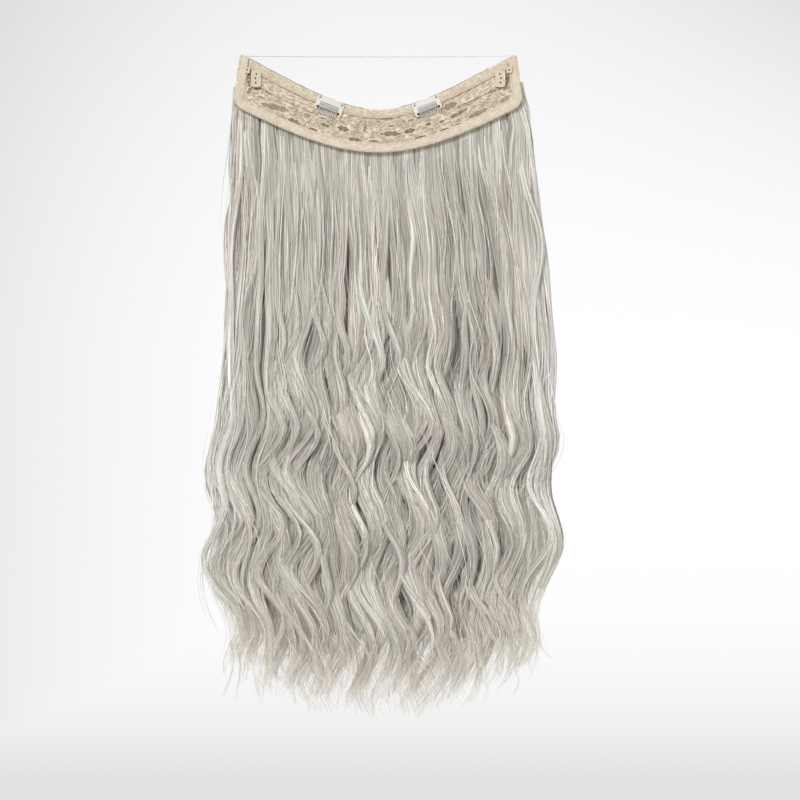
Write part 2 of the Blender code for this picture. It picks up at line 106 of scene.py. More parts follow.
def build_mesh(name, finish, points, quads, colours=None, lay=None):
    """A mesh from arrays of points and quads. colours tint its points, and lay says where
    each point lies in its cloth, along and across, in metres."""
    mesh = bpy.data.meshes.new(name)
    points = np.asarray(points, np.float32).reshape(-1, 3)
    quads = np.asarray(quads, np.int32).reshape(-1, 4)
    mesh.vertices.add(len(points))
    mesh.vertices.foreach_set("co", points.ravel())
    mesh.loops.add(quads.size)
    mesh.loops.foreach_set("vertex_index", quads.ravel())
    mesh.polygons.add(len(quads))
    mesh.polygons.foreach_set("loop_start", np.arange(0, quads.size, 4, dtype=np.int32))
    mesh.update(calc_edges=True)
    mesh.validate()
    mesh.shade_smooth()
    if colours is not None:
        layer = mesh.color_attributes.new("tint", "FLOAT_COLOR", "POINT")
        colours = np.asarray(colours, np.float32).reshape(-1, 3)
        rgba = np.concatenate([colours, np.ones((len(colours), 1), np.float32)], axis=1)
        layer.data.foreach_set("color", rgba.ravel())
    if lay is not None:
        layer = mesh.attributes.new("lay", "FLOAT_VECTOR", "POINT")
        lay = np.asarray(lay, np.float32).reshape(-1, 2)
        flat = np.concatenate([lay, np.zeros((len(lay), 1), np.float32)], axis=1)
        layer.data.foreach_set("vector", flat.ravel())
    mesh.materials.append(finish)
    return linked(name, mesh)


def linked(name, data):
    item = bpy.data.objects.new(name, data)
    bpy.context.scene.collection.objects.link(item)
    return item


def placed(item, node, body="halo"):
    """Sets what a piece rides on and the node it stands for."""
    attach(item, body)
    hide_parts(node)
    return item


def joined(parts):
    """Stacks parts, each of points, quads and any arrays that go with the points."""
    stacks, start = [[] for _ in parts[0]], 0
    for part in parts:
        for index, (stack, values) in enumerate(zip(stacks, part)):
            flat = values.reshape(-1, values.shape[-1])
            stack.append(flat + start if index == 1 else flat)
        start += part[0].size // 3
    return [np.concatenate(stack) for stack in stacks]


def sewn(name, node, thread, parts):
    """A piece of stitches or thread, standing for a node of the part."""
    return placed(build_mesh(name, thread, *joined(parts)), node)


def unit(vectors):
    return vectors / np.maximum(np.linalg.norm(vectors, axis=-1, keepdims=True), 1e-9)


def woven(index, closed=False):
    """Quads between neighbours in a grid of point numbers, or closed round its last axis."""
    if closed:
        index = np.concatenate([index, index[..., :1]], axis=-1)
    near, far = index[..., :-1, :], index[..., 1:, :]
    return np.stack([near[..., :-1], near[..., 1:], far[..., 1:], far[..., :-1]], axis=-1)


def numbered(*shape):
    return np.arange(math.prod(shape)).reshape(shape)


def ribbons(paths, outward, half, colours, start):
    """Flat strands: paths and outward are (strands, steps, 3), half is (strands, steps)."""
    along = unit(np.gradient(paths, axis=1))
    side = unit(np.cross(along, outward)) * half[..., None]
    points = np.stack([paths - side, paths + side], axis=2)
    across = np.stack([start[:, None] - half, start[:, None] + half], axis=-1)
    lay = np.stack([across, np.broadcast_to(paths[..., 2:], across.shape)], axis=-1)
    colours = np.repeat(colours[:, :, None, :], 2, axis=2)
    return points, woven(numbered(*half.shape, 2)), colours, lay


def tubes(paths, radius, sides, tone):
    """Round tubes of one tone along paths (tubes, steps, 3), of radius (tubes, steps)."""
    along = unit(np.gradient(paths, axis=1))
    guide = np.zeros_like(along)
    guide[..., 1] = 1
    across = unit(np.cross(along, guide))
    up = np.cross(across, along)
    turn = (TAU * np.arange(sides) / sides)[None, None, :, None]
    ring = across[:, :, None] * np.cos(turn) + up[:, :, None] * np.sin(turn)
    radius = np.broadcast_to(radius, paths.shape[:2])
    points = paths[:, :, None] + ring * radius[:, :, None, None]
    quads = woven(numbered(*points.shape[:3]), closed=True)
    return points, quads, np.broadcast_to(tone, points.shape)


# Hair

# Outline of the hair: height, then its left and right edge there
HAIR_OUTLINE = np.array((
    (-40, -129, 134), (-82, -130, 138), (-130, -131, 142), (-170, -133, 147),
    (-258, -138, 154), (-337, -145, 156), (-400, -145, 151), (-443, -143, 144),
    (-495, -139, 145), (-540, -133, 141), (-590, -128, 132))) * MM
# Where locks end, by how far out they hang, and how far that varies
HAIR_ENDS = np.array(((0, -577), (0.5, -570), (0.8, -552), (1.0, -536))) * (1, MM)
END_SPREAD = 13.0 * MM
# How far the hair stands out past the cap's ends above its bottom edge, left and right
FLARES = (1.5 * MM, 6.5 * MM)
WAVE_LENGTH = 94.0 * MM
WAVE_START = -145.0 * MM
WAVE_FULL = -350.0 * MM
WAVE_CREST = -361.5 * MM
WAVE_LEAN = 0.74
WAVE_DEPTH = 3.2 * MM
EDGE_DELAY = 110.0 * MM
FLATTENING = 0.5
SETTLING_DROP = 90.0 * MM
TONES = np.array(((0.630, 0.634, 0.578), (0.680, 0.669, 0.610), (0.668, 0.622, 0.582),
                  (0.780, 0.769, 0.714)))
TONE_WEIGHTS = (1.3, 1.8, 1.0, 0.7)
# Pale tone painted into the hair's thin ends and stray strands, standing in for light that shows
# through them
PAINTED_PALE_TONE = (0.920, 0.888, 0.825)
CORE_PAINTED_SHADE = 0.92
CORE_SIDES = 14
CORE_STEPS = 37
STEPS = 42


def hair_back(x, height):
    """Depth of the surface that the rows hang along: the cap's curve, flatter lower down."""
    lost = FLATTENING * ease((CAP_BOTTOM_DIP - height) / SETTLING_DROP)
    return CAP_DEPTH * (1 - (1 - lost) * (x / WIRE_REACH) ** 2)


class Lock:
    """One lock: its middle line, its half width and depth along it, and its strands."""

    def __init__(self, draw, row, layer, across):
        self.draw, self.layer = draw, layer
        self.share = share = np.linspace(0, 1, STEPS)
        out = abs(across)
        root = np.clip(row["reach"] * across, -0.99, 0.99)
        top = draw.uniform(*layer["roots"]) if "roots" in layer else row["top"]
        root_z = cap_flat(root, top)[1]
        low_x, low_z = bottom_edge(root)
        end = np.interp(out, HAIR_ENDS[:, 0], HAIR_ENDS[:, 1])
        end += draw.uniform(-END_SPREAD, END_SPREAD)
        height = root_z + (end - root_z) * share
        left, right = (np.interp(-height, -HAIR_OUTLINE[:, 0], HAIR_OUTLINE[:, i]) for i in (1, 2))
        settled = ease((low_z - height) / SETTLING_DROP)
        hanging = (left + right) / 2 + ((right - left) / 2 - layer["width"] * 0.9) * across
        flare = FLARES[int(across > 0)] * ease((out - 0.8) / 0.2)
        flare = flare * ease((root_z - height) / (26 * MM)) * math.copysign(1, across)
        x = low_x + flare + (hanging - low_x - flare) * settled

        # Waves start lower at the edges, and vary less from lock to lock there
        delay = EDGE_DELAY * ease((out - 0.55) / 0.4)
        strength = ease((WAVE_START - delay - height) / (WAVE_START - WAVE_FULL - delay / 2))
        edge_calm = 1 - 0.75 * ease((out - 0.6) / 0.35)
        length = WAVE_LENGTH * (1 + layer["jitter"] * 0.09 * edge_calm * draw.normal())
        phase = -WAVE_LEAN + WAVE_LEAN * across + TAU * (height - WAVE_CREST) / length
        phase = phase + layer["jitter"] * edge_calm * draw.normal()
        sway = layer["sway"] * draw.uniform(0.7, 1.15 + 0.3 * edge_calm)
        drift = self.wander(1, 6)[0] * layer["drift"] * ease(settled) * (0.25 + 0.75 * share)
        early = self.wander(1, 9)[0] * 2.3 * MM * settled
        x = x + strength * sway * np.sin(phase) + drift + early
        curl = ease((share - 0.80) / 0.2) * draw.uniform(1, 4) * MM
        x = x + curl * np.sin(TAU * height / (46 * MM) + phase[0])

        depth = np.interp(root_z - height, row["climb"][:, 0], row["climb"][:, 1])
        bulge = strength * np.cos(phase + 0.6)
        y = hair_back(x, height) + depth + layer["lift"] * settled + bulge * WAVE_DEPTH
        # Painted light: locks are painted lighter where their waves bulge toward the camera, a
        # painted highlight, and edge locks lower down are painted lighter still, a painted rim
        # light
        rim = ease((out - 0.84) / 0.16) * ease((-90 * MM - height) / (150 * MM))
        self.tone_and_painted_light = (1 - 0.11 * bulge) * (1 + 0.40 * rim)
        self.line = np.stack([x, y, height], axis=-1)

        pinch = np.clip(1 + 0.24 * self.wander(1, 11)[0], 0.5, 1.45)
        full = ease(0.30 + (low_z - height) / (60 * MM))
        taper = 1 - 0.50 * ease((share - 0.70) / 0.30)
        self.half_width = layer["width"] * pinch * (0.55 + 0.45 * full) * taper
        self.half_depth = layer["depth"] * (0.28 + 0.72 * full) * taper
        self.twist = draw.uniform(-1, 1) * layer["twist"] * share + draw.uniform(0, TAU)
        self.tone = draw.dirichlet(TONE_WEIGHTS) @ TONES
        self.tone = self.tone * (layer["shade"] * draw.uniform(0.88, 1.13))

    def wander(self, count, knots):
        """Gently wandering numbers along the lock, one row for each of count strands."""
        values = self.draw.normal(0, 1, (count, knots))
        spot = np.clip(self.share, 0, 0.9999) * (knots - 1)
        low = np.floor(spot).astype(int)
        share = ease(spot - low)
        return values[:, low] * (1 - share) + values[:, low + 1] * share

    def painted_paler(self, colours, amount):
        """Colours faded toward a pale tone at the hair's thin ends: painted light, standing in for
        the light that shows through them.
        """
        return np.clip(colours + (np.array(PAINTED_PALE_TONE) - colours) * amount, 0.05, 0.92)

    def around(self, angle, reach):
        """Places at an angle and a share of the way out from the lock's middle line."""
        wide, deep = np.cos(angle), np.sin(angle)
        shift = np.stack([wide * self.half_width * reach, deep * self.half_depth * reach,
                          np.zeros_like(wide * reach)], axis=-1)
        outward = np.stack([wide * self.half_depth, deep * self.half_width,
                            np.zeros_like(wide)], axis=-1)
        return self.line + shift, unit(outward)

    def strands(self):
        draw, layer, share, count = self.draw, self.layer, self.share, self.layer["strands"]
        reach = np.where(draw.random(count) < 0.86, draw.uniform(0.97, 1.07, count),
                         draw.uniform(0.3, 0.9, count))[:, None]
        angle = draw.uniform(0, TAU, count)[:, None] + self.twist + 0.22 * self.wander(count, 5)
        spread = 1 + 0.9 * ease((share - 0.86) / 0.14) * draw.uniform(-0.6, 1.0, (count, 1))
        paths, outward = self.around(angle, reach * spread)
        loose = (0.10 + 1.3 * share ** 5) * MM
        loose = loose * np.where(draw.random(count) < 0.05, 5.0, 1.0)[:, None]
        for axis in (0, 1):
            paths[..., axis] += self.wander(count, 13) * loose
        end = 1 - draw.random(count) ** 1.3 * layer.get("thinning", 0.17)
        paths = self.shortened(paths, end)
        half = layer["strand"] * draw.uniform(0.6, 1.4, (count, 1)) * MM
        half = half * (1 - 0.62 * ease((share - 0.78) / 0.22))
        tone_and_painted_light = draw.normal(1.02, 0.13, (count, 1, 1))
        bright = np.where(draw.random(count) < 0.10, 1.18, 1.0)[:, None, None]
        # Each strand's tone varies at random, times the lock's painted light along it
        colours = self.tone * tone_and_painted_light * bright * self.tone_and_painted_light[:, None]
        # Painted light: the thin ends are painted paler
        colours = self.painted_paler(colours, (0.85 * ease((share - 0.72) / 0.24))[:, None])
        return ribbons(paths, outward, half, colours, draw.uniform(0, 2, count))

    def shortened(self, paths, end):
        """Ends each strand early, at a share of its lock's length."""
        spot = self.share * end[:, None] * (STEPS - 1)
        low = np.minimum(np.floor(spot).astype(int), STEPS - 2)
        share = (spot - low)[..., None]
        rows = np.arange(len(paths))[:, None]
        return paths[rows, low] * (1 - share) + paths[rows, low + 1] * share

    def core(self):
        """The lock's own body: a smooth bundle in a few lobes, under the strands that show. It is
        painted darker, as painted shade inside the lock.
        """
        turn = TAU * np.arange(CORE_SIDES) / CORE_SIDES
        lobes = self.draw.normal(0, 0.05, (CORE_SIDES, 1))
        lobes = lobes - 0.42 * ease((self.share - 0.70) / 0.20)
        points, _ = self.around(turn[:, None] + self.twist, 0.95 + lobes)
        points = points.transpose(1, 0, 2)[:CORE_STEPS]
        # Painted shade: the core is darker than the strands over it, and a few of its sides darker
        # still
        shade = CORE_PAINTED_SHADE * self.draw.uniform(0.80, 1.12, (1, CORE_SIDES, 1))
        shade = np.where(self.draw.random((1, CORE_SIDES, 1)) < 0.16, shade * 0.72, shade)
        colours = self.tone * shade * self.tone_and_painted_light[:CORE_STEPS, None, None]
        # Painted light: the core too is painted paler toward the thin ends
        fade = 0.6 * ease((self.share[:CORE_STEPS, None, None] - 0.70) / 0.16)
        girth = np.broadcast_to(turn * self.layer["width"], points.shape[:2])
        lay = np.stack([girth + self.draw.uniform(0, 2), points[..., 2]], axis=-1)
        quads = woven(numbered(CORE_STEPS, CORE_SIDES), closed=True)
        return points, quads, self.painted_paler(colours, fade), lay


def tier(name, locks, sizes, jitter, twist, strands, strand, shade, **more):
    """A layer of locks. sizes are half width, half depth, lift, sway and drift, and strand is the
    half width of a strand, all in mm. shade scales the layer's tone: painted shade darkens the
    deeper layers and painted light brightens the nearest wisps and strands."""
    keys = ("width", "depth", "lift", "sway", "drift")
    return dict(zip(keys, (size * MM for size in sizes)), name=name, locks=locks, jitter=jitter,
                twist=twist, strands=strands, strand=strand, shade=shade, **more)


# Rows of hair: where on the cap each is sewn, how its depth grows with the drop below its
# track (mm), and its layers of locks from the deepest to the nearest
ROWS = (
    dict(node="hair_lower_row", top=0.88, reach=0.985, seed=5,
         climb=((0, 4.4), (14, 4.6), (50, 7.4)), layers=(
             tier("hair_lower_back", 24, (9.0, 3.0, 1.5, 7.0, 3.0), 0.5, 0.8, 38, 0.30, 0.82),
             tier("hair_lower_front", 22, (7.8, 3.0, -2.4, 8.2, 6.0), 0.8, 0.9, 84, 0.25, 1.0),
             tier("hair_lower_wisps", 22, (3.0, 1.6, -5.2, 9.0, 8.0), 1.1, 1.2, 40, 0.22, 1.06),
             tier("hair_side_strands", 26, (3.0, 1.6, -0.6, 6.0, 4.5), 1.8, 1.5, 26, 0.18, 1.06,
                  sides=(0.90, 1.0), bare=True, roots=(0.12, 0.92), thinning=0.5),
             tier("hair_loose_strands", 44, (5.0, 2.0, -6.4, 7.0, 10.0), 1.2, 2.0, 5, 0.20, 1.08,
                  bare=True, thinning=0.5))),
    dict(node="hair_middle_row", top=0.72, reach=0.92, seed=17,
         climb=((0, 3.4), (10, 6.0), (24, 8.0), (60, 14.2)), layers=(
             tier("hair_middle", 24, (8.6, 3.2, 0, 8.0, 5.0), 0.8, 1.0, 18, 0.40, 0.86),)),
    dict(node="hair_upper_row", top=0.50, reach=0.76, seed=29,
         climb=((0, 3.4), (14, 7.0), (30, 9.8), (80, 20.5)), layers=(
             tier("hair_upper_inner", 24, (8.6, 3.0, -1.0, 8.0, 4.0), 0.6, 1.0, 20, 0.38, 0.92),
             tier("hair_upper_outer", 22, (7.8, 2.8, 2.6, 9.0, 6.0), 1.0, 1.4, 74, 0.27, 1.0))),
)

# Stray strands that stand clear of the rest: how many, then their places (x, z in mm)
STRAYS = (
    (4, (-137, -395), (-143, -418), (-151, -436), (-155, -452), (-154, -472), (-149, -490),
     (-140, -508)),
    (2, (-141, -400), (-147, -424), (-156, -444), (-158, -462), (-155, -482), (-146, -500)),
    (5, (-131, -515), (-128, -528), (-129, -541), (-133, -553), (-137, -563)),
    (4, (-124, -520), (-121, -535), (-122, -548), (-125, -558), (-125, -566)),
    (4, (-112, -525), (-109, -545), (-107, -558), (-103, -570)),
    (4, (138, -490), (139, -506), (144, -519), (150, -527), (156, -530)),
    (4, (118, -520), (121, -540), (124, -552), (118, -563)),
)
STRAY_STEPS = 26
STRAY_HALF = 0.17 * MM
STRAY_DEPTH = 7 * MM
STRAY_SHADE = 0.86


def stray_strands(draw):
    parts = []
    for count, *places in STRAYS:
        share = np.linspace(0, 1, STRAY_STEPS)
        near = np.linspace(0, 1, len(places))
        flat = np.array([np.interp(share, near, values) for values in (np.array(places) * MM).T])
        for _ in range(3):
            flat[:, 1:-1] = (flat[:, :-2] + 2 * flat[:, 1:-1] + flat[:, 2:]) / 4
        x, z = flat
        paths = np.stack([x, hair_back(x, z) + STRAY_DEPTH, z], axis=-1)
        spread = draw.normal(0, 0.8, (count, 1, 1))
        spread = spread + draw.normal(0, 0.7, (count, 1, 1)) * share[:, None]
        paths = paths + spread * np.array((1, 0.6, 0)) * MM
        half = STRAY_HALF * (1 - 0.6 * share ** 3) * np.ones((count, 1))
        # Stray strands take the painted pale tone of the thin ends, a little darker
        colours = np.broadcast_to(np.array(PAINTED_PALE_TONE) * STRAY_SHADE, paths.shape)
        parts.append(ribbons(paths, np.broadcast_to((0.0, -1.0, 0.0), paths.shape), half,
                             colours, draw.uniform(0, 2, count)))
    return parts


def make_hair(finish):
    for row in ROWS:
        draw = np.random.default_rng(row["seed"])
        row = dict(row, climb=np.array(row["climb"]) * MM)
        for layer in row["layers"]:
            parts = []
            count = layer["locks"]
            for i in range(count):
                across = -1 + 2 * (i + 0.5) / count
                across = np.clip(across + draw.uniform(-0.35, 0.35) / count * 2, -1, 1)
                if "sides" in layer:
                    across = (-1) ** i * draw.uniform(*layer["sides"])
                lock = Lock(draw, row, layer, across)
                parts.append(lock.strands())
                if "bare" not in layer:
                    parts.append(lock.core())
            if layer["name"] == "hair_loose_strands":
                parts += stray_strands(draw)
            placed(build_mesh(layer["name"], finish, *joined(parts)), row["node"])


# Lace

# Leaves in the lace: middle (x, z), half length and half width (mm), tilt (degrees)
LEAVES = (
    (-113.0, -29.5, 4.6, 2.2, 55), (-103.0, -35.5, 4.0, 1.4, -20), (-96.0, -31.6, 4.0, 1.5, -20),
    (-90.8, -44.0, 14.0, 2.8, -14), (-81.0, -37.5, 4.5, 1.6, -22), (-74.0, -56.6, 6.5, 2.6, -24),
    (-63.0, -51.0, 3.5, 2.3, -12), (-62.0, -44.0, 4.0, 1.5, -20), (-57.4, -63.6, 4.2, 1.8, -20),
    (-49.0, -53.4, 4.2, 1.2, -10), (-47.0, -59.4, 5.0, 1.7, -18), (-31.0, -62.4, 5.6, 2.6, -15),
    (-20.4, -72.0, 7.0, 1.9, -8), (-11.6, -62.0, 4.2, 1.8, 68), (-4.0, -73.4, 4.7, 1.3, -2),
    (7.7, -53.6, 6.8, 1.9, 0), (11.3, -60.0, 4.2, 1.2, 5), (11.5, -66.8, 10.4, 2.3, 1),
    (27.5, -64.4, 5.6, 2.3, 12), (29.0, -55.0, 3.6, 1.4, 12), (37.4, -70.6, 5.8, 2.2, 13),
    (44.3, -58.4, 2.8, 1.8, 20), (56.0, -56.4, 2.6, 1.4, 20), (58.8, -63.2, 4.6, 1.3, 18),
    (63.5, -42.6, 7.0, 3.2, 24), (70.5, -49.4, 9.5, 2.0, 28), (70.0, -58.6, 2.8, 1.0, 20),
    (88.0, -49.2, 10.0, 2.5, 25), (97.0, -37.0, 3.4, 1.0, 20), (101.0, -30.4, 4.8, 1.4, 24),
    (111.5, -37.0, 6.4, 2.1, 31), (113.0, -27.6, 4.8, 1.3, 32))
LEAF_SITES = np.array(LEAVES) * (MM, MM, MM, MM, math.radians(1))
# Leaves are open below this share of the cap's height and within this reach of its middle
OPEN_SHARE = 0.55
OPEN_REACH = 88 * MM
# Painted shadow on the net about plates and anchors: middle and half sizes (mm), on both ends
PAINTED_SHADOW_SPOTS = ((109.5, -20, 6.0, 8.6), (112.5, -10.5, 4.6, 3.4), (105, -27, 5, 2.4))
# Tone of the closed leaves and of the net about the fittings: painted shade
PAINTED_LEAF_SHADE = 0.36
LACE_COLUMNS = 430
LACE_ROWS = 46
LACE_TONE = (0.96, 0.86, 0.70)
# Dark tone of the petal veins, and painted shadow for the arcs beside the petals
LACE_SHADE = (0.24, 0.18, 0.125)
LACE_THREAD = (0.64, 0.55, 0.41)
THREAD_STEP = 1.35 * MM
PETAL_TRIES = 3500
PETAL_CLEARANCE = 1.4 * MM


def leaf_shape(share, wave=0.0):
    """Half width of a leaf, as a share of its greatest, at shares of its half length."""
    rounded = np.clip(1 - share ** 2, 0, None) ** 0.62
    return rounded * (1 + 0.20 * np.sin(9 * share + wave) + 0.12 * np.sin(17 * share + 2 * wave))


def is_open(x, z):
    """A leaf is open where a row of hair hangs behind it, and elsewhere painted dark, as painted
    shade in the opening.
    """
    top, low = edge_height(x, *TOP_EDGE), edge_height(x, *BOTTOM_EDGE)
    return (z - top) / (low - top) > OPEN_SHARE and abs(x) < OPEN_REACH


def in_leaves(x, z, grown=0.0, opened=None):
    """Which places lie in a leaf, or only in those that are opened or closed."""
    found = np.zeros(np.shape(x), bool)
    for index, (mid_x, mid_z, long, wide, tilt) in enumerate(LEAF_SITES):
        if opened is not None and opened != is_open(mid_x, mid_z):
            continue
        along = ((x - mid_x) * math.cos(tilt) + (z - mid_z) * math.sin(tilt)) / (long + grown)
        across = -(x - mid_x) * math.sin(tilt) + (z - mid_z) * math.cos(tilt)
        limit = (wide + grown) * leaf_shape(np.clip(along, -1, 1), index)
        found |= (np.abs(along) < 1) & (np.abs(across) < limit)
    return found


def make_lace(finish):
    """Lace ground between the bindings, open at its leaves: a wall one millimetre thick."""
    edge_v, reach = BIND_V * LACE_EDGE_SHARE, 1 - BIND_U * LACE_EDGE_SHARE
    u, v = np.meshgrid(np.linspace(-reach, reach, LACE_COLUMNS + 1),
                       np.linspace(edge_v, 1 - edge_v, LACE_ROWS + 1), indexing="ij")
    # Its corners are cut, to stay inside the rounded corners of the tape
    cut = (np.clip((np.abs(u) - reach + 0.022) / 0.022, 0, 1)
           * np.clip((np.abs(v - 0.5) - 0.5 + edge_v + 0.07) / 0.07, 0, 1))
    x, z = cap_flat(u, v + (0.5 - v) * 0.16 * cut)
    solid = ~in_leaves((x[:-1, :-1] + x[1:, 1:]) / 2, (z[:-1, :-1] + z[1:, 1:]) / 2, opened=True)
    near = numbered(*x.shape)
    quads = [woven(near)[solid], woven(near + x.size)[solid][:, ::-1]]
    for axis, side in ((0, -1), (0, 1), (1, -1), (1, 1)):
        beside = np.roll(np.pad(solid, 1), side, axis=axis)[1:-1, 1:-1]
        start = np.array(np.nonzero(solid & ~beside))
        start[axis] += side < 0
        end = start.copy()
        end[1 - axis] += 1
        first, second = near[tuple(start)], near[tuple(end)]
        if (axis == 0) == (side == 1):
            first, second = second, first
        quads.append(np.stack([first, second, second + x.size, first + x.size], axis=-1))
    quads = np.concatenate(quads)
    used, renumbered = np.unique(quads, return_inverse=True)
    points = np.concatenate([lifted(x, z, lift).reshape(-1, 3)
                             for lift in (LACE_HALF, -LACE_HALF)])
    # Painted shade: closed leaves, and the net about the plates and anchors, are darkened
    shade = np.ones(x.shape)
    shade[in_leaves(x, z, opened=False)] = PAINTED_LEAF_SHADE
    # Painted shadow about the plates and anchors
    for mid_x, mid_z, long, wide in PAINTED_SHADOW_SPOTS:
        inside = np.hypot((np.abs(x) - mid_x * MM) / long, (z - mid_z * MM) / wide) < MM
        shade[inside] = PAINTED_LEAF_SHADE
    place = used % x.size
    item = build_mesh("lace", finish, points[used], renumbered.reshape(-1, 4),
                      np.repeat(shade.ravel()[place, None], 3, axis=1),
                      np.stack([x, z], axis=-1).reshape(-1, 2)[place])
    return placed(item, "lace_panel")


def turned(x, z, tilt, along, across):
    """Places along and across a leaf or petal that is tilted about its middle."""
    return (x + along * math.cos(tilt) - across * math.sin(tilt),
            z + along * math.sin(tilt) + across * math.cos(tilt))


def ring_paths(sites, steps):
    """Closed loops from (x, z, along, across, tilt, wave) sites, as flat places."""
    turn = TAU * np.arange(steps + 1) / steps
    share = np.cos(turn)
    side = np.sign(np.sin(turn))
    return [turned(x, z, tilt, long * share, side * wide * leaf_shape(share, wave))
            for x, z, long, wide, tilt, wave in sites]


def flat_tubes(places, radius, lift, tone, sides=5):
    """Tubes that follow flat places on the cap: places is (tubes, 2, steps)."""
    places = np.array(places)
    return tubes(lifted(places[:, 0], places[:, 1], lift), radius, sides, tone)


def petal_sites(draw):
    """Places for small raised petals on the lace ground, clear of its leaves."""
    sites = []
    for _ in range(PETAL_TRIES):
        u, v = draw.uniform(-0.92, 0.92), draw.uniform(0.24, 0.77)
        x, z = (float(value) for value in cap_flat(u, v))
        size = draw.uniform(1.0, 2.9) * MM
        apart = all((x - other[0]) ** 2 + (z - other[1]) ** 2 > (0.9 * (size + other[2])) ** 2
                    for other in sites)
        clear = not in_leaves(np.array([x]), np.array([z]), PETAL_CLEARANCE)[0]
        if apart and clear:
            lean = math.atan(0.6 * x / (100 * MM)) * 0.5 + draw.uniform(-0.9, 0.9)
            sites.append((x, z, size, size * draw.uniform(0.34, 0.6), lean, draw.uniform(0, 6)))
    return sites


def make_lace_cords(finish):
    """Raised cord round each leaf and petal, painted shadow arcs by the petals, and threads
    across leaves.
    """
    rims = ring_paths([(x, z, long + 0.25 * MM, wide + 0.2 * MM, tilt, index)
                       for index, (x, z, long, wide, tilt) in enumerate(LEAF_SITES)], 40)
    petals = petal_sites(np.random.default_rng(41))
    veins, painted_shadow_arcs, threads = [], [], []
    for x, z, long, wide, tilt, wave in petals:
        share = np.linspace(-0.8, 1.5, 6)
        veins.append(turned(x, z, tilt, long * share, 0.25 * long * np.sin(share * 2 + wave)))
        # Painted shadow: a dark arc beside one side of each petal
        turn = wave + np.linspace(0, 2.4, 6)
        painted_shadow_arcs.append(turned(x, z, tilt, (long + 0.42 * MM) * np.cos(turn),
                           (wide + 0.42 * MM) * np.sin(turn)))
    for index, (x, z, long, wide, tilt) in enumerate(LEAF_SITES):
        for lean in (-0.55, 0.55):
            for place in np.arange(-long + 0.4 * MM, long, THREAD_STEP):
                foot, head = place - lean * wide, place + lean * wide
                low = -wide * leaf_shape(np.clip(foot / long, -1, 1), index)
                high = wide * leaf_shape(np.clip(head / long, -1, 1), index)
                share = np.linspace(0, 1, 4)
                threads.append(turned(x, z, tilt, foot + (head - foot) * share,
                                      low + (high - low) * share))
    parts = [flat_tubes(rims, 0.36 * MM, 0.52 * MM, LACE_TONE),
             flat_tubes(rims, 0.36 * MM, -0.52 * MM, LACE_TONE),
             flat_tubes(ring_paths(petals, 14), 0.30 * MM, 0.56 * MM, LACE_TONE),
             flat_tubes(veins, 0.22 * MM, 0.54 * MM, LACE_SHADE),
             flat_tubes(painted_shadow_arcs, 0.20 * MM, 0.55 * MM, LACE_SHADE, sides=3),
             flat_tubes(threads, 0.20 * MM, 0.5 * MM, LACE_THREAD, sides=4)]
    return placed(build_mesh("lace_cords", finish, *joined(parts)), "lace_panel")


# Binding tape, its stitches, dark lines at its top edge, painted shadow lines down its ends,
# and the tracks of the hair rows

# Half section of the tape: share of its width from the fold, and lift from the middle
TAPE_SECTION = np.array((
    (FOLD_SHARE, GAP + LACE_HALF), (1.0, GAP + LACE_HALF), (1.01, 1.15 * MM), (0.99, 1.5 * MM),
    (0.95, 1.62 * MM), (0.84, 1.52 * MM), (0.78, 1.62 * MM), (0.55, 1.76 * MM), (0.30, 1.8 * MM),
    (0.12, 1.66 * MM), (0.035, 1.2 * MM), (0.0, 0.45 * MM)))
TAPE_SECTION = np.concatenate([TAPE_SECTION, TAPE_SECTION[::-1] * (1, -1)])
# The tape's line of stitches: share of its width, lift, and length of a stitch with its gap
TAPE_STITCHES = (0.84, 1.62 * MM, 3.1 * MM)
RIPPLE_PITCH = 2.3 * MM
# Tint of the tape, and of the worn flecks in its top part and in the straps
TAPE_WORN = 0.84
TOP_WORN = (0.76, 0.73, 0.69)
STRAP_WORN = (0.62, 0.59, 0.54)
STITCH_TONE = (0.66, 0.56, 0.42)
TRACK_STITCH_TONE = (0.60, 0.52, 0.40)
DASH_TONE = (0.20, 0.17, 0.12)


def edge_stations(along_steps, end_steps):
    """Outer and inner places of the tape round the cap, in u and v, with rounded corners."""
    along, across = np.arange(along_steps) / along_steps, np.arange(end_steps) / end_steps
    u = np.concatenate([-1 + 2 * along, 1 + 0 * across, 1 - 2 * along, -1 + 0 * across])
    v = np.concatenate([0 * along, across, 1 + 0 * along, 1 - across])
    stations = np.stack([u, v, u * (1 - BIND_U), BIND_V + (1 - 2 * BIND_V) * v], axis=-1)
    from_end = (1 - np.abs(u)) * CAP_TOP_HALF
    for share, reach, pull in ((v, 4 * MM, 0.14), (1 - v, 8 * MM, 0.30)):
        near = np.clip(1 - (from_end + share * 38 * MM) / reach, 0, 1) ** 2
        stations[:, :2] += (stations[:, 2:] - stations[:, :2]) * (near * pull)[:, None]
    return stations


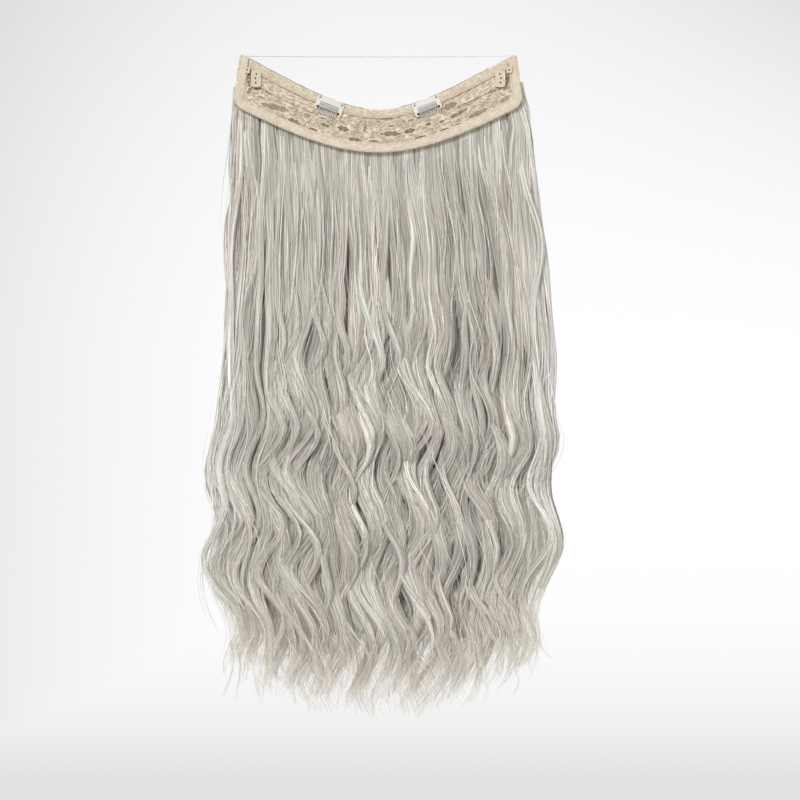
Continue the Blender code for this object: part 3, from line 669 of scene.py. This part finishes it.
def make_binding(cloth, thread):
    """Tape folded over the lace's edge, with a line of stitches near its inner edge."""
    stations = edge_stations(220, 36)
    share, lift = TAPE_SECTION.T
    outer, inner = stations[:, None, :2], stations[:, None, 2:]
    place = outer + (inner - outer) * share[:, None]
    x, z = cap_flat(place[..., 0], place[..., 1])
    points = lifted(x, z, lift)
    count, ring = x.shape
    step = np.linalg.norm(np.diff(points[:, 8], axis=0, append=points[:1, 8]), axis=-1)
    along = np.cumsum(step) - step
    width = np.linalg.norm(points[:, 1] - points[:, ring // 2 - 1], axis=-1)
    lay = np.stack([np.broadcast_to(along[:, None], x.shape), share * width[:, None]], axis=-1)
    # The line of stitches pulls a rippled groove into both faces
    ripple = 0.05 * MM * np.sin(along * TAU / RIPPLE_PITCH)[:, None]
    outward = lifted(x, z, lift + np.sign(lift) * (ripple + 0.05 * MM)) - points
    crest = np.exp(-((share - TAPE_STITCHES[0]) / 0.06) ** 2)
    points = points - outward * crest[:, None] * 0.9
    index = numbered(count, ring)
    quads = woven(np.concatenate([index, index[:1]]), closed=True)
    upper = 1 - ease((place[:, -1, 1] - 0.1) / 0.5)[:, None, None]
    worn = (TAPE_WORN + (np.array(TOP_WORN) - TAPE_WORN) * upper) * np.ones((count, ring, 1))
    tape = placed(build_mesh("binding_tape", cloth, points, quads, worn, lay), "edge_binding")
    closed = np.concatenate([stations, stations[:1]])
    stitches = make_stitches("binding_stitches", "edge_binding", closed, *TAPE_STITCHES, thread,
                             faces=(1, -1))
    return tape, stitches, float(along[-1] + step[-1])


def make_stitches(name, node, stations, share, lift, pitch, thread, faces=(1,),
                  tone=STITCH_TONE):
    """A row of short stitches at a share of the way across a tape, on one face or both."""
    middle = stations[:, :2] + (stations[:, 2:] - stations[:, :2]) * share
    x, z = cap_flat(middle[:, 0], middle[:, 1])
    travelled = np.concatenate([[0], np.cumsum(np.hypot(np.diff(x), np.diff(z)))])
    count = int(travelled[-1] / pitch)
    share_on = np.linspace(0, 1, 5)
    spots = (np.arange(count)[:, None] + 0.14 + 0.72 * share_on) * pitch
    flat_x, flat_z = np.interp(spots, travelled, x), np.interp(spots, travelled, z)
    rise = np.sin(share_on * math.pi) * 0.16 * MM - 0.1 * MM
    radius = np.array((0.10, 0.17, 0.18, 0.17, 0.10)) * MM
    parts = [tubes(lifted(flat_x, flat_z, face * (lift + rise)), radius, 5, tone)
             for face in faces]
    return sewn(name, node, thread, parts)


# Sewn tracks: node, top edge on the cap, share of the half width
TRACKS = (("hair_lower_row", 0.87, 0.985), ("hair_middle_row", 0.71, 0.92),
          ("hair_upper_row", 0.48, 0.75))
TRACK_TALL = 0.10
TRACK_FACE = (2.15 * MM, 3.7 * MM)
TRACK_TONE = (0.42, 0.40, 0.35)


def make_tracks(fibre, thread):
    """The folded heads of the hair rows, held by a zigzag of stitches."""
    turn = TAU * np.arange(10) / 10
    middle, half = sum(TRACK_FACE) / 2, (TRACK_FACE[1] - TRACK_FACE[0]) / 2
    for node, top, reach in TRACKS:
        name = node.replace("row", "track")
        u = np.linspace(-reach, reach, 160)[:, None]
        x, z = cap_flat(u + 0 * turn, top + TRACK_TALL / 2 + TRACK_TALL / 2 * np.cos(turn) + 0 * u)
        lump = 1 + 0.16 * np.sin(u * 190)
        points = lifted(x, z, -(middle + half * lump * np.sin(turn)))
        colours = np.broadcast_to(TRACK_TONE, points.shape)
        band = build_mesh(name, fibre, points, woven(numbered(*x.shape), closed=True), colours,
                          np.stack([x, z], axis=-1))
        placed(band, node)
        count = int(2 * reach * CAP_BOTTOM_HALF / (1.5 * MM))
        place = cap_flat(np.linspace(-reach, reach, count),
                         top + TRACK_TALL * np.where(np.arange(count) % 2, 0.12, 0.88))
        seam = flat_tubes([place], 0.22 * MM, -(TRACK_FACE[1] + 0.05 * MM), TRACK_STITCH_TONE)
        sewn(name + "_stitches", node, thread, [seam])


def make_tape_overlap(cloth):
    """The tape's end, folded over itself at the cap's upper left corner."""
    u, v = np.meshgrid(np.linspace(-0.994, -0.942, 8), np.linspace(0.02, 0.52, 22),
                       indexing="ij")
    edge = np.maximum(np.abs(u + 0.968) / 0.026, np.abs(v - 0.27) / 0.25)
    lift = TAPE_FACE + (0.62 - 0.5 * np.clip(edge - 0.9, 0, 0.1) / 0.1) * MM
    x, z = cap_flat(u, v)
    index = numbered(*u.shape)
    quads = woven(index).reshape(-1, 4)
    rim = np.concatenate([index[:-1, 0], index[-1, :-1], index[:0:-1, -1], index[0, :0:-1]])
    following = np.roll(rim, -1)
    walls = np.stack([following, rim, rim + u.size, following + u.size], axis=-1)
    points = np.concatenate([lifted(x, z, height).reshape(-1, 3)
                             for height in (lift, TAPE_FACE + 0.02 * MM)])
    item = build_mesh("tape_overlap", cloth, points,
                      np.concatenate([quads, quads[:, ::-1] + u.size, walls]),
                      np.full(points.shape, 0.92),
                      np.concatenate([np.stack([x, z], axis=-1).reshape(-1, 2)] * 2))
    placed(item, "edge_binding")


# Dark lines: stretches in u along the cap's top edge, and painted shadow down its ends (u, v, v)
TOP_DARK_LINES = ((-0.935, -0.10), (0.16, 0.80))
END_SHADOW_LINES = ((-0.938, 0.03, 0.50), (0.936, 0.10, 0.40))
TOP_LINE_TONE = (0.24, 0.23, 0.19)
END_SHADOW_TONE = (0.20, 0.16, 0.11)


def make_shadow_and_edge_lines(thread):
    parts = []
    # Painted shadow: dark lines at the inner edges of the tape's folded ends
    for u, start, end in END_SHADOW_LINES:
        v = np.linspace(start, end, 40)
        x, z = cap_flat(u + 0 * v, v)
        lift = np.where(v < BIND_V, TAPE_FACE + 0.1 * MM, MM)
        parts.append(tubes(lifted(x, z, lift)[None], 0.34 * MM, 6, END_SHADOW_TONE))
    # A dark line along the cap's top edge
    for start, end in TOP_DARK_LINES:
        u = np.linspace(start, end, 120)
        parts.append(flat_tubes([cap_flat(u, -0.004 + 0.002 * np.sin(u * 60))], 0.24 * MM,
                                0.5 * MM, TOP_LINE_TONE, sides=6))
    sewn("shadow_and_edge_lines", "edge_binding", thread, parts)


# Clips

CLIP_X = 41.0 * MM
CLIP_LIFT = 2.8 * MM
# Sewing holes from the clip's middle (mm)
CLIP_HOLE_X = 10.2
LOOP_TONE = (0.68, 0.58, 0.44)
# Threads at each sewing hole: tone, radius (mm), whether mirrored at the left hole, and
# knots rightward of the right hole, up the clip and out of it (mm)
CLIP_THREADS = (
    # The first thread is near black: painted shade in the lower holes, drawn as knots
    ((0.03, 0.028, 0.025), 0.50, True,
     ((0, -10.2, -0.3), (-0.2, -10.0, 0.50), (-0.7, -9.5, 0.85), (-1.1, -10.2, 0.85),
      (-0.9, -11.2, 0.30))),
    (LOOP_TONE, 0.26, False,
     ((-0.2, -2.3, -0.3), (-0.2, -2.0, 0.5), (0, -1.0, 0.72), (0, 0.1, 0.5), (0, 0.5, -0.6))),
    (LOOP_TONE, 0.26, False,
     ((0.4, -2.3, -0.3), (0.4, -2.0, 0.5), (0.7, -1.0, 0.70), (0.8, 0.1, 0.5),
      (0.8, 0.5, -0.6))),
)
GRIP_HALF = 7.6 * MM
GRIP_DROPS = (6.5 * MM, 10.5 * MM)
GRIP_DEPTHS = (0.7 * MM, 1.4 * MM)
GRIP_RIBS = 13
# Near-black base: painted shade in the grooves between the ribs
GRIP_GROOVE_SHADE = (0.13, 0.125, 0.12)
RIB_TONE = (0.85, 0.85, 0.83)
BOX_FACES = np.array(((3, 2, 1, 0), (4, 5, 6, 7), (0, 1, 5, 4), (1, 2, 6, 5), (2, 3, 7, 6),
                      (3, 0, 4, 7)))
SIDES = (("left", -1), ("right", 1))


def clip_places(sign, local):
    """Places on a clip, given along its bar, up the cap and out toward the head."""
    _, steepness, roundness = TOP_EDGE
    x = sign * CLIP_X
    tilt = math.atan(steepness * (x / roundness) / math.hypot(1, x / roundness))
    slope = -2 * CAP_DEPTH * x / WIRE_REACH ** 2
    out = np.array((slope, -1, 0)) / math.hypot(slope, 1)
    along = np.cross((0, 0, 1), out) * math.cos(tilt) + np.array((0, 0, 1)) * math.sin(tilt)
    origin = lifted(np.array(x), edge_height(x, *TOP_EDGE), CLIP_LIFT)
    return origin + np.asarray(local) @ np.stack([along, np.cross(out, along), out])


def make_clip_threads(thread):
    """Thread through each clip's sewing holes: near-black knots below, as painted shade in those
    holes, and plain loops above.
    """
    for side, sign in SIDES:
        parts = []
        for end in (-1, 1):
            for tone, radius, mirrored, line in CLIP_THREADS:
                knots = np.array(line) * (end if mirrored else 1, 1, 1)
                knots = (knots + (end * CLIP_HOLE_X, 0, 0)) * MM
                share = np.linspace(0, len(line) - 1, 14)
                local = np.stack([np.interp(share, np.arange(len(line)), values)
                                  for values in knots.T], axis=-1)
                parts.append(tubes(clip_places(sign, local)[None], radius * MM, 7, tone))
        sewn(f"clip_thread_{side}", f"clip_frame_{side}", thread, parts)


def make_grips(finish):
    """Ribbed silicone on each comb: a flat base under a row of round ribs. The base is near
    black, as painted shade in the grooves between the ribs.
    """
    (high, low), (near, far) = GRIP_DROPS, GRIP_DEPTHS
    corners = [(x, -drop, depth) for depth in (near, far)
               for x, drop in ((-GRIP_HALF, high), (GRIP_HALF, high), (GRIP_HALF, low),
                               (-GRIP_HALF, low))]
    drop = np.linspace(high + 0.1 * MM, low - 0.1 * MM, 9)
    radius = 0.37 * MM * np.sqrt(np.clip(1 - np.linspace(-0.97, 0.97, 9) ** 8, 0, 1))
    for side, sign in SIDES:
        base = clip_places(sign, corners)
        parts = [(base, BOX_FACES, np.broadcast_to(GRIP_GROOVE_SHADE, base.shape))]
        for i in range(GRIP_RIBS):
            x = -GRIP_HALF + 2 * GRIP_HALF / GRIP_RIBS * (i + 0.5)
            local = np.stack([x + 0 * drop, -drop, far - 0.02 * MM + 0 * drop], axis=-1)
            parts.append(tubes(clip_places(sign, local)[None], radius, 8, RIB_TONE))
        placed(build_mesh(f"grip_ribs_{side}", finish, *joined(parts)), f"clip_grip_{side}",
               f"comb_{side}")


# Straps: node, ends along the cap, and the edge that a row of dark dashes runs along
STRAPS = (("strap_left", -0.845, -0.43, 0.03), ("strap_right", 0.56, 0.85, 0.97))
STRAP_EDGES = (0.225, 0.43)
STRAP_WIDTH = 7.5 * MM
STRAP_BASE = LACE_HALF + GAP
# Section of a strap: share of its width, and thickness (mm)
STRAP_ACROSS = np.array((0, 0.02, 0.08, 0.14, 0.5, 0.86, 0.92, 0.98, 1.0))
STRAP_THICK = np.array((0.5, 0.86, 1.0, 0.78, 0.72, 0.78, 1.0, 0.86, 0.5)) * MM


def make_straps(cloth, thread):
    """Ribbon straps on the lace, thicker at their woven edges, with stitches and dashes."""
    face = len(STRAP_ACROSS)
    across = np.concatenate([STRAP_ACROSS, STRAP_ACROSS[::-1]])
    lift = np.concatenate([STRAP_BASE + STRAP_THICK, np.full(face, STRAP_BASE)])
    for node, start, end, dash_share in STRAPS:
        u = np.linspace(start, end, 90)[:, None]
        sag = 0.012 * np.sin((u - start) / (end - start) * math.pi)
        v = STRAP_EDGES[0] + (STRAP_EDGES[1] - STRAP_EDGES[0]) * across + sag
        x, z = cap_flat(np.broadcast_to(u, v.shape), v)
        points = lifted(x, z, lift)
        along = x[:, :1] - x[0, 0] + 0 * x
        lay = np.stack([along, across * STRAP_WIDTH + 0 * along], axis=-1)
        index = numbered(*x.shape)
        quads = woven(np.concatenate([index, index[:, :1]], axis=1).T).reshape(-1, 4)
        ends = np.stack([index[:, :face - 1], index[:, 1:face], index[:, :face - 1:-1][:, 1:],
                         index[:, :face - 1:-1][:, :-1]], axis=-1)
        quads = np.concatenate([quads, ends[0], ends[-1][:, ::-1]])
        ribbon = build_mesh(node + "_ribbon", cloth, points, quads,
                            np.broadcast_to(STRAP_WORN, points.shape), lay)
        placed(ribbon, node)
        edges = np.stack([u[:, 0], v[:, 0], u[:, 0], v[:, face - 1]], axis=-1)
        for name, share, rise, pitch, tone in (
                ("stitches_2", 0.2, 0.82 * MM, 2.6 * MM, STITCH_TONE),
                ("stitches_8", 0.8, 0.82 * MM, 2.6 * MM, STITCH_TONE),
                ("dashes", dash_share, 0.62 * MM, 1.9 * MM, DASH_TONE)):
            make_stitches(f"{node}_{name}", node, edges, share, STRAP_BASE + rise, pitch, thread,
                          tone=tone)


# Fittings and wire

def refined(node, body, bevel, finish):
    """A copy of a CAD piece with softened edges and its own finish."""
    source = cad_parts[node]
    mesh = source.data.copy()
    work = bmesh.new()
    work.from_mesh(mesh)
    bmesh.ops.remove_doubles(work, verts=work.verts, dist=2e-6)
    bmesh.ops.dissolve_limit(work, angle_limit=math.radians(1.5), verts=work.verts,
                             edges=work.edges)
    work.to_mesh(mesh)
    work.free()
    mesh.materials.clear()
    mesh.materials.append(finish)
    mesh.shade_smooth()
    mesh.set_sharp_from_angle(angle=math.radians(40))
    item = linked(node + "_piece", mesh)
    item.matrix_world = source.matrix_world.copy()
    soft = item.modifiers.new("soft_edges", "BEVEL")
    soft.width = bevel
    soft.segments = 2
    soft.limit_method = "ANGLE"
    soft.angle_limit = math.radians(40)
    placed(item, node, body)


def make_fittings(steel, tab):
    """Clip frames and combs, adjuster plates and wire anchors."""
    for side, _ in SIDES:
        refined(f"clip_frame_{side}", "halo", 0.14 * MM, steel)
        refined(f"clip_comb_{side}", f"comb_{side}", 0.10 * MM, steel)
        refined(f"adjuster_plate_{side}", "halo", 0.16 * MM, tab)
        refined(f"wire_anchor_{side}", "halo", 0.16 * MM, tab)


WIRE_HALF = 116.6 * MM
WIRE_SAG = 0.8 * MM
WIRE_DIAMETER = 0.6 * MM
WIRE_POINTS = 48


def make_wire(finish):
    """The clear wire, on the part's route, drawn from one corner of the cap to the other."""
    curve = bpy.data.curves.new("wire", "CURVE")
    curve.dimensions = "3D"
    curve.bevel_depth = WIRE_DIAMETER / 2
    curve.bevel_resolution = 3
    curve.use_fill_caps = True
    curve.materials.append(finish)
    spline = curve.splines.new("POLY")
    spline.points.add(WIRE_POINTS - 1)
    share = np.linspace(-1, 1, WIRE_POINTS)
    route = np.stack([WIRE_HALF * share, 0 * share, WIRE_SAG * share ** 2], axis=-1)
    for point, place in zip(spline.points, route):
        point.co = (*place, 1)
    item = placed(linked("wire", curve), "halo_wire")


# Materials

class Paint:
    """A material, and short ways to add nodes to it and to join them."""

    def __init__(self, name, colour=(0.8, 0.8, 0.8), roughness=0.5, **values):
        self.made = bpy.data.materials.new(name)
        self.made.use_nodes = True
        self.tree = self.made.node_tree
        self.shader = self.tree.nodes["Principled BSDF"]
        self.shade(Base_Color=colour, Roughness=roughness, **values)

    def feed(self, socket, value):
        """Gives a socket a number, a colour or another node's output."""
        if isinstance(value, bpy.types.NodeSocket):
            self.tree.links.new(value, socket)
        elif isinstance(value, tuple) and len(value) < len(socket.default_value):
            socket.default_value = (*value, 1)
        else:
            socket.default_value = value

    def shade(self, **values):
        """Feeds the shader's own sockets, named with _ for a space."""
        for key, value in values.items():
            self.feed(self.shader.inputs[key.replace("_", " ")], value)

    def add(self, kind, output, **values):
        """Adds a node, sets what is named in small letters, feeds the sockets that are named
        with a capital, and gives one of its outputs."""
        node = self.tree.nodes.new("ShaderNode" + kind)
        for key, value in values.items():
            if key[0].islower():
                setattr(node, key, value)
            else:
                self.feed(node.inputs[key.replace("_", " ")], value)
        return node.outputs[output]

    def maths(self, kind, first, second):
        node = self.tree.nodes.new("ShaderNodeMath")
        node.operation = kind
        for socket, value in zip(node.inputs, (first, second)):
            self.feed(socket, value)
        return node.outputs["Value"]

    def plus(self, first, second):
        return self.maths("ADD", first, second)

    def times(self, first, second):
        return self.maths("MULTIPLY", first, second)

    def mixed(self, factor, first, second, kind="MIX"):
        return self.add("Mix", "Result", data_type="RGBA", blend_type=kind, Factor=factor,
                        A=first, B=second)

    def tinted(self, first, second):
        return self.mixed(1.0, first, second, "MULTIPLY")

    def place(self):
        return self.add("TexCoord", "Object")

    def lay(self):
        return self.add("Attribute", "Vector", attribute_name="lay")

    def tint(self):
        return self.add("Attribute", "Color", attribute_name="tint")

    def noise(self, place, scale, detail=3.0):
        return self.add("TexNoise", "Fac", Scale=scale, Detail=detail, Vector=place)

    def stripes(self, place, axis, pitch):
        """Bands across an axis of the lay, one each pitch."""
        return self.add("TexWave", "Fac", bands_direction=axis, Scale=TAU / (20 * pitch),
                        Distortion=0.4, Vector=place)

    def stretched(self, place, scale):
        return self.add("Mapping", "Vector", Scale=scale, Vector=place)

    def spread(self, value, low, high):
        """Widens values between low and high to the range from 0 to 1."""
        return self.add("MapRange", "Result", From_Min=low, From_Max=high, Value=value)

    def bumped(self, height, strength, distance):
        self.shade(Normal=self.add("Bump", "Normal", Strength=strength, Distance=distance,
                                   Height=height))


def cloth_material():
    """Ribbed woven tape: ribs across it, a fine warp along it, and mottled and worn colour."""
    light, dark, pitch = (0.92, 0.82, 0.66), (0.70, 0.605, 0.46), 0.9 * MM
    paint = Paint("binding_tape", light, 0.85, Sheen_Weight=0.25)
    lay = paint.lay()
    weave = paint.times(paint.stripes(lay, "X", pitch), paint.stripes(lay, "Y", pitch * 0.8))
    mottle = paint.noise(paint.place(), 160)
    broad = paint.spread(paint.noise(paint.place(), 110, 4.0), 0.36, 0.62)
    shade = paint.plus(paint.times(weave, 0.35), paint.times(paint.plus(mottle, broad), 0.38))
    flecks = paint.noise(paint.stretched(lay, (260, 700, 1)), 1.0, 4.0)
    worn = paint.mixed(paint.spread(flecks, 0.44, 0.56), paint.tint(), (1.0, 1.0, 1.0))
    rosy = paint.mixed(paint.noise(paint.place(), 28, 1.0), (0.97, 1.02, 0.96),
                       (1.05, 0.96, 1.00))
    colour = paint.tinted(paint.tinted(paint.mixed(shade, dark, light), worn), rosy)
    paint.shade(Base_Color=colour)
    paint.bumped(paint.plus(weave, paint.times(mottle, 0.5)), 0.55, 0.00025)
    return paint.made


def thread_material(name):
    """Twisted thread, tinted by its piece and mottled along it."""
    paint = Paint(name, (0.7, 0.6, 0.45), 0.7)
    mottle = paint.noise(paint.place(), 900)
    shade = paint.mixed(mottle, (0.62, 0.60, 0.58), (1.15, 1.13, 1.10))
    paint.shade(Base_Color=paint.tinted(paint.tint(), shade))
    paint.bumped(mottle, 0.4, 0.0002)
    return paint.made


def lace_material():
    """Net ground: fine cells darker at their middles, over broad mottling."""
    paint = Paint("lace", (0.6, 0.5, 0.37), 0.9)
    lay = paint.lay()
    cells = paint.add("TexVoronoi", "Distance", Scale=900, Vector=lay)
    net = paint.maths("MINIMUM", paint.times(cells, 1.8), 1.0)
    broad = paint.noise(lay, 130, 5.0)
    ground = paint.mixed(paint.spread(broad, 0.36, 0.66), (0.46, 0.375, 0.27),
                         (0.95, 0.825, 0.65))
    colour = paint.mixed(net, paint.mixed(0.42, ground, (0.30, 0.23, 0.16)), ground)
    paint.shade(Base_Color=paint.tinted(colour, paint.tint()))
    paint.bumped(paint.plus(net, paint.times(broad, 2.0)), 0.7, 0.0004)
    return paint.made


def plastic_material():
    """Moulded plates and anchors with faint cloudy colour and fine pits."""
    light, dark = (0.80, 0.70, 0.54), (0.58, 0.48, 0.35)
    paint = Paint("tab", light, 0.5)
    paint.shade(Base_Color=paint.mixed(paint.noise(paint.place(), 300), dark, light))
    paint.bumped(paint.noise(paint.place(), 1800), 0.18, 0.0001)
    return paint.made


def silicone_material():
    """Cloudy silicone, tinted by its piece."""
    paint = Paint("grip_silicone", (0.7, 0.72, 0.75), 0.34, Transmission_Weight=0.12)
    cloudy = paint.noise(paint.place(), 500)
    shade = paint.mixed(cloudy, (0.82, 0.83, 0.85), (1.10, 1.10, 1.10))
    paint.shade(Base_Color=paint.tinted(paint.tint(), shade))
    paint.bumped(cloudy, 0.2, 0.0001)
    return paint.made


def steel_material():
    """Pale coated spring steel with fine brush marks."""
    paint = Paint("clip_steel", (0.86, 0.85, 0.82), 0.34, Metallic=0.30)
    marks = paint.noise(paint.stretched(paint.place(), (60, 60, 2200)), 1.0)
    paint.shade(Base_Color=paint.mixed(marks, (0.78, 0.74, 0.67), (0.98, 0.945, 0.875)))
    paint.bumped(marks, 0.15, 0.00008)
    return paint.made


def wire_material():
    """Clear nylon line, slightly green, with a faint variation along it."""
    paint = Paint("wire_nylon", (0.80, 0.83, 0.79), 0.12, Transmission_Weight=0.55, IOR=1.53)
    cloudy = paint.noise(paint.place(), 260)
    paint.shade(Base_Color=paint.mixed(cloudy, (0.62, 0.66, 0.61), (0.84, 0.87, 0.83)))
    return paint.made


def hair_material():
    """Fibres: fine streaks along each lock, light and dark, with rosy and greenish tones."""
    paint = Paint("hair", roughness=0.44, Specular_IOR_Level=0.40)
    lay = paint.lay()
    coarse, fine, broad = (
        paint.spread(paint.noise(paint.stretched(lay, (across, along, 1)), 1.0, 2.0), 0.37, 0.60)
        for across, along in ((900, 9), (2600, 16), (240, 4)))
    hue = paint.mixed(broad, (1.05, 0.97, 0.98), (0.98, 1.02, 0.98))
    dark = paint.mixed(coarse, (0.57, 0.55, 0.52), (1.27, 1.27, 1.27))
    thin = paint.mixed(fine, (0.84, 0.83, 0.82), (1.14, 1.14, 1.14))
    paint.shade(Base_Color=paint.tinted(paint.tinted(paint.tinted(paint.tint(), hue), dark), thin))
    paint.bumped(paint.plus(coarse, paint.times(fine, 0.5)), 0.6, 0.0004)
    return paint.made


# Stage, light and camera

# Share of its glow that the sweep keeps on the camera's side of the object
NEAR_GLOW = 0.76
LIGHT_TARGET = Vector((0, 0, -0.28))
# Floor height, radius of the flat floor, radius and height of the wall, and steps about it
FLOOR_Z, FLOOR_R, WALL_R, WALL_TOP, BOWL_SIDES = -1.15, 3.5, 7.0, 6.0, 96


def stage_material():
    """Pale sweep that glows with painted light: brightest right of the object, dimmer to the upper
    corners and the foot.
    """
    paint = Paint("studio", (0.05, 0.05, 0.05), 0.9, Emission_Color=(1, 1, 1))
    place = paint.add("NewGeometry", "Position")
    x, y, z = (paint.add("SeparateXYZ", axis, Vector=place) for axis in "XYZ")
    away = paint.maths("MAXIMUM", paint.plus(y, CAMERA_DISTANCE), 2.0)
    side = paint.maths("DIVIDE", paint.maths("SUBTRACT", x, 0.019), away)
    rise = paint.maths("DIVIDE", paint.maths("SUBTRACT", z, -0.302), away)

    def squared(value, scale):
        inside = paint.times(paint.maths("MAXIMUM", value, 0), 1 / scale)
        return paint.times(inside, inside)

    left = paint.times(squared(paint.times(side, -1), 0.081), 0.113)
    right = squared(side, 0.0856)
    top = paint.times(squared(rise, 0.093), paint.plus(paint.times(right, 0.09), 0.095))
    low = squared(paint.times(rise, -1), 0.0905)
    foot = paint.times(paint.times(low, low), 0.24)
    dimming = paint.maths("MAXIMUM", foot, paint.plus(left, top))
    glow = paint.maths("MAXIMUM", paint.maths("SUBTRACT", 0.955, dimming), 0.70)
    behind = paint.add("MapRange", "Result", From_Min=-1.5, From_Max=1.5, To_Min=NEAR_GLOW,
                       Value=y)
    paint.shade(Emission_Strength=paint.times(glow, behind))
    return paint.made


def make_stage():
    """A round seamless bowl of pale floor and wall about the object."""
    profile = [(0.0, FLOOR_Z), (FLOOR_R * 0.5, FLOOR_Z), (FLOOR_R, FLOOR_Z)]
    for i in range(1, 13):
        angle = math.pi / 2 * i / 12
        profile.append((FLOOR_R + (WALL_R - FLOOR_R) * math.sin(angle),
                        FLOOR_Z + (WALL_R - FLOOR_R) * (1 - math.cos(angle))))
    profile.append((WALL_R, WALL_TOP))
    turn = TAU * np.arange(BOWL_SIDES) / BOWL_SIDES
    points = np.array([[(r * math.cos(a), r * math.sin(a), z) for a in turn] for r, z in profile])
    quads = woven(numbered(len(profile), BOWL_SIDES), closed=True)
    build_mesh("studio_bowl", stage_material(), points, quads)
    bpy.context.scene.view_settings.view_transform = "Standard"


def area_light(name, place, size, power):
    light = bpy.data.lights.new(name, "AREA")
    light.shape = "RECTANGLE"
    light.size = light.size_y = size
    light.energy = power
    item = linked(name, light)
    item.location = place
    item.rotation_euler = (LIGHT_TARGET - Vector(place)).to_track_quat("-Z", "Y").to_euler()


def make_lights():
    world = bpy.data.worlds.new("studio_air")
    bpy.context.scene.world = world
    world.use_nodes = True
    world.node_tree.nodes["Background"].inputs["Color"].default_value = (1, 1, 1, 1)
    world.node_tree.nodes["Background"].inputs["Strength"].default_value = 0.4
    area_light("key", (-1.1, -2.1, 1.6), 0.6, 52)
    area_light("fill", (1.9, -2.2, 0.2), 1.6, 4)
    area_light("back", (0.8, 2.6, 1.6), 1.6, 24)


def make_camera():
    camera = bpy.data.cameras.new("camera")
    camera.sensor_width = SENSOR
    camera.lens = SENSOR * CAMERA_DISTANCE / (IMAGE_PIXELS * PIXEL)
    camera.clip_end = 100
    item = linked("camera", camera)
    item.location = VIEW_CENTRE - Vector((0, CAMERA_DISTANCE, 0))
    item.rotation_euler = (math.pi / 2, 0, 0)
    bpy.context.scene.camera = item


make_camera()
make_wire(wire_material())
make_stage()
make_lights()
tape_cloth = cloth_material()
sewing_thread = thread_material("sewing_thread")
lace = make_lace(lace_material())
lace_cords = make_lace_cords(thread_material("lace_cord"))
tape, tape_stitches, tape_length = make_binding(tape_cloth, sewing_thread)
make_straps(tape_cloth, sewing_thread)
make_fittings(steel_material(), plastic_material())
make_grips(silicone_material())
make_clip_threads(sewing_thread)
make_tape_overlap(tape_cloth)
make_shadow_and_edge_lines(sewing_thread)
fibre = hair_material()
make_tracks(fibre, sewing_thread)
make_hair(fibre)
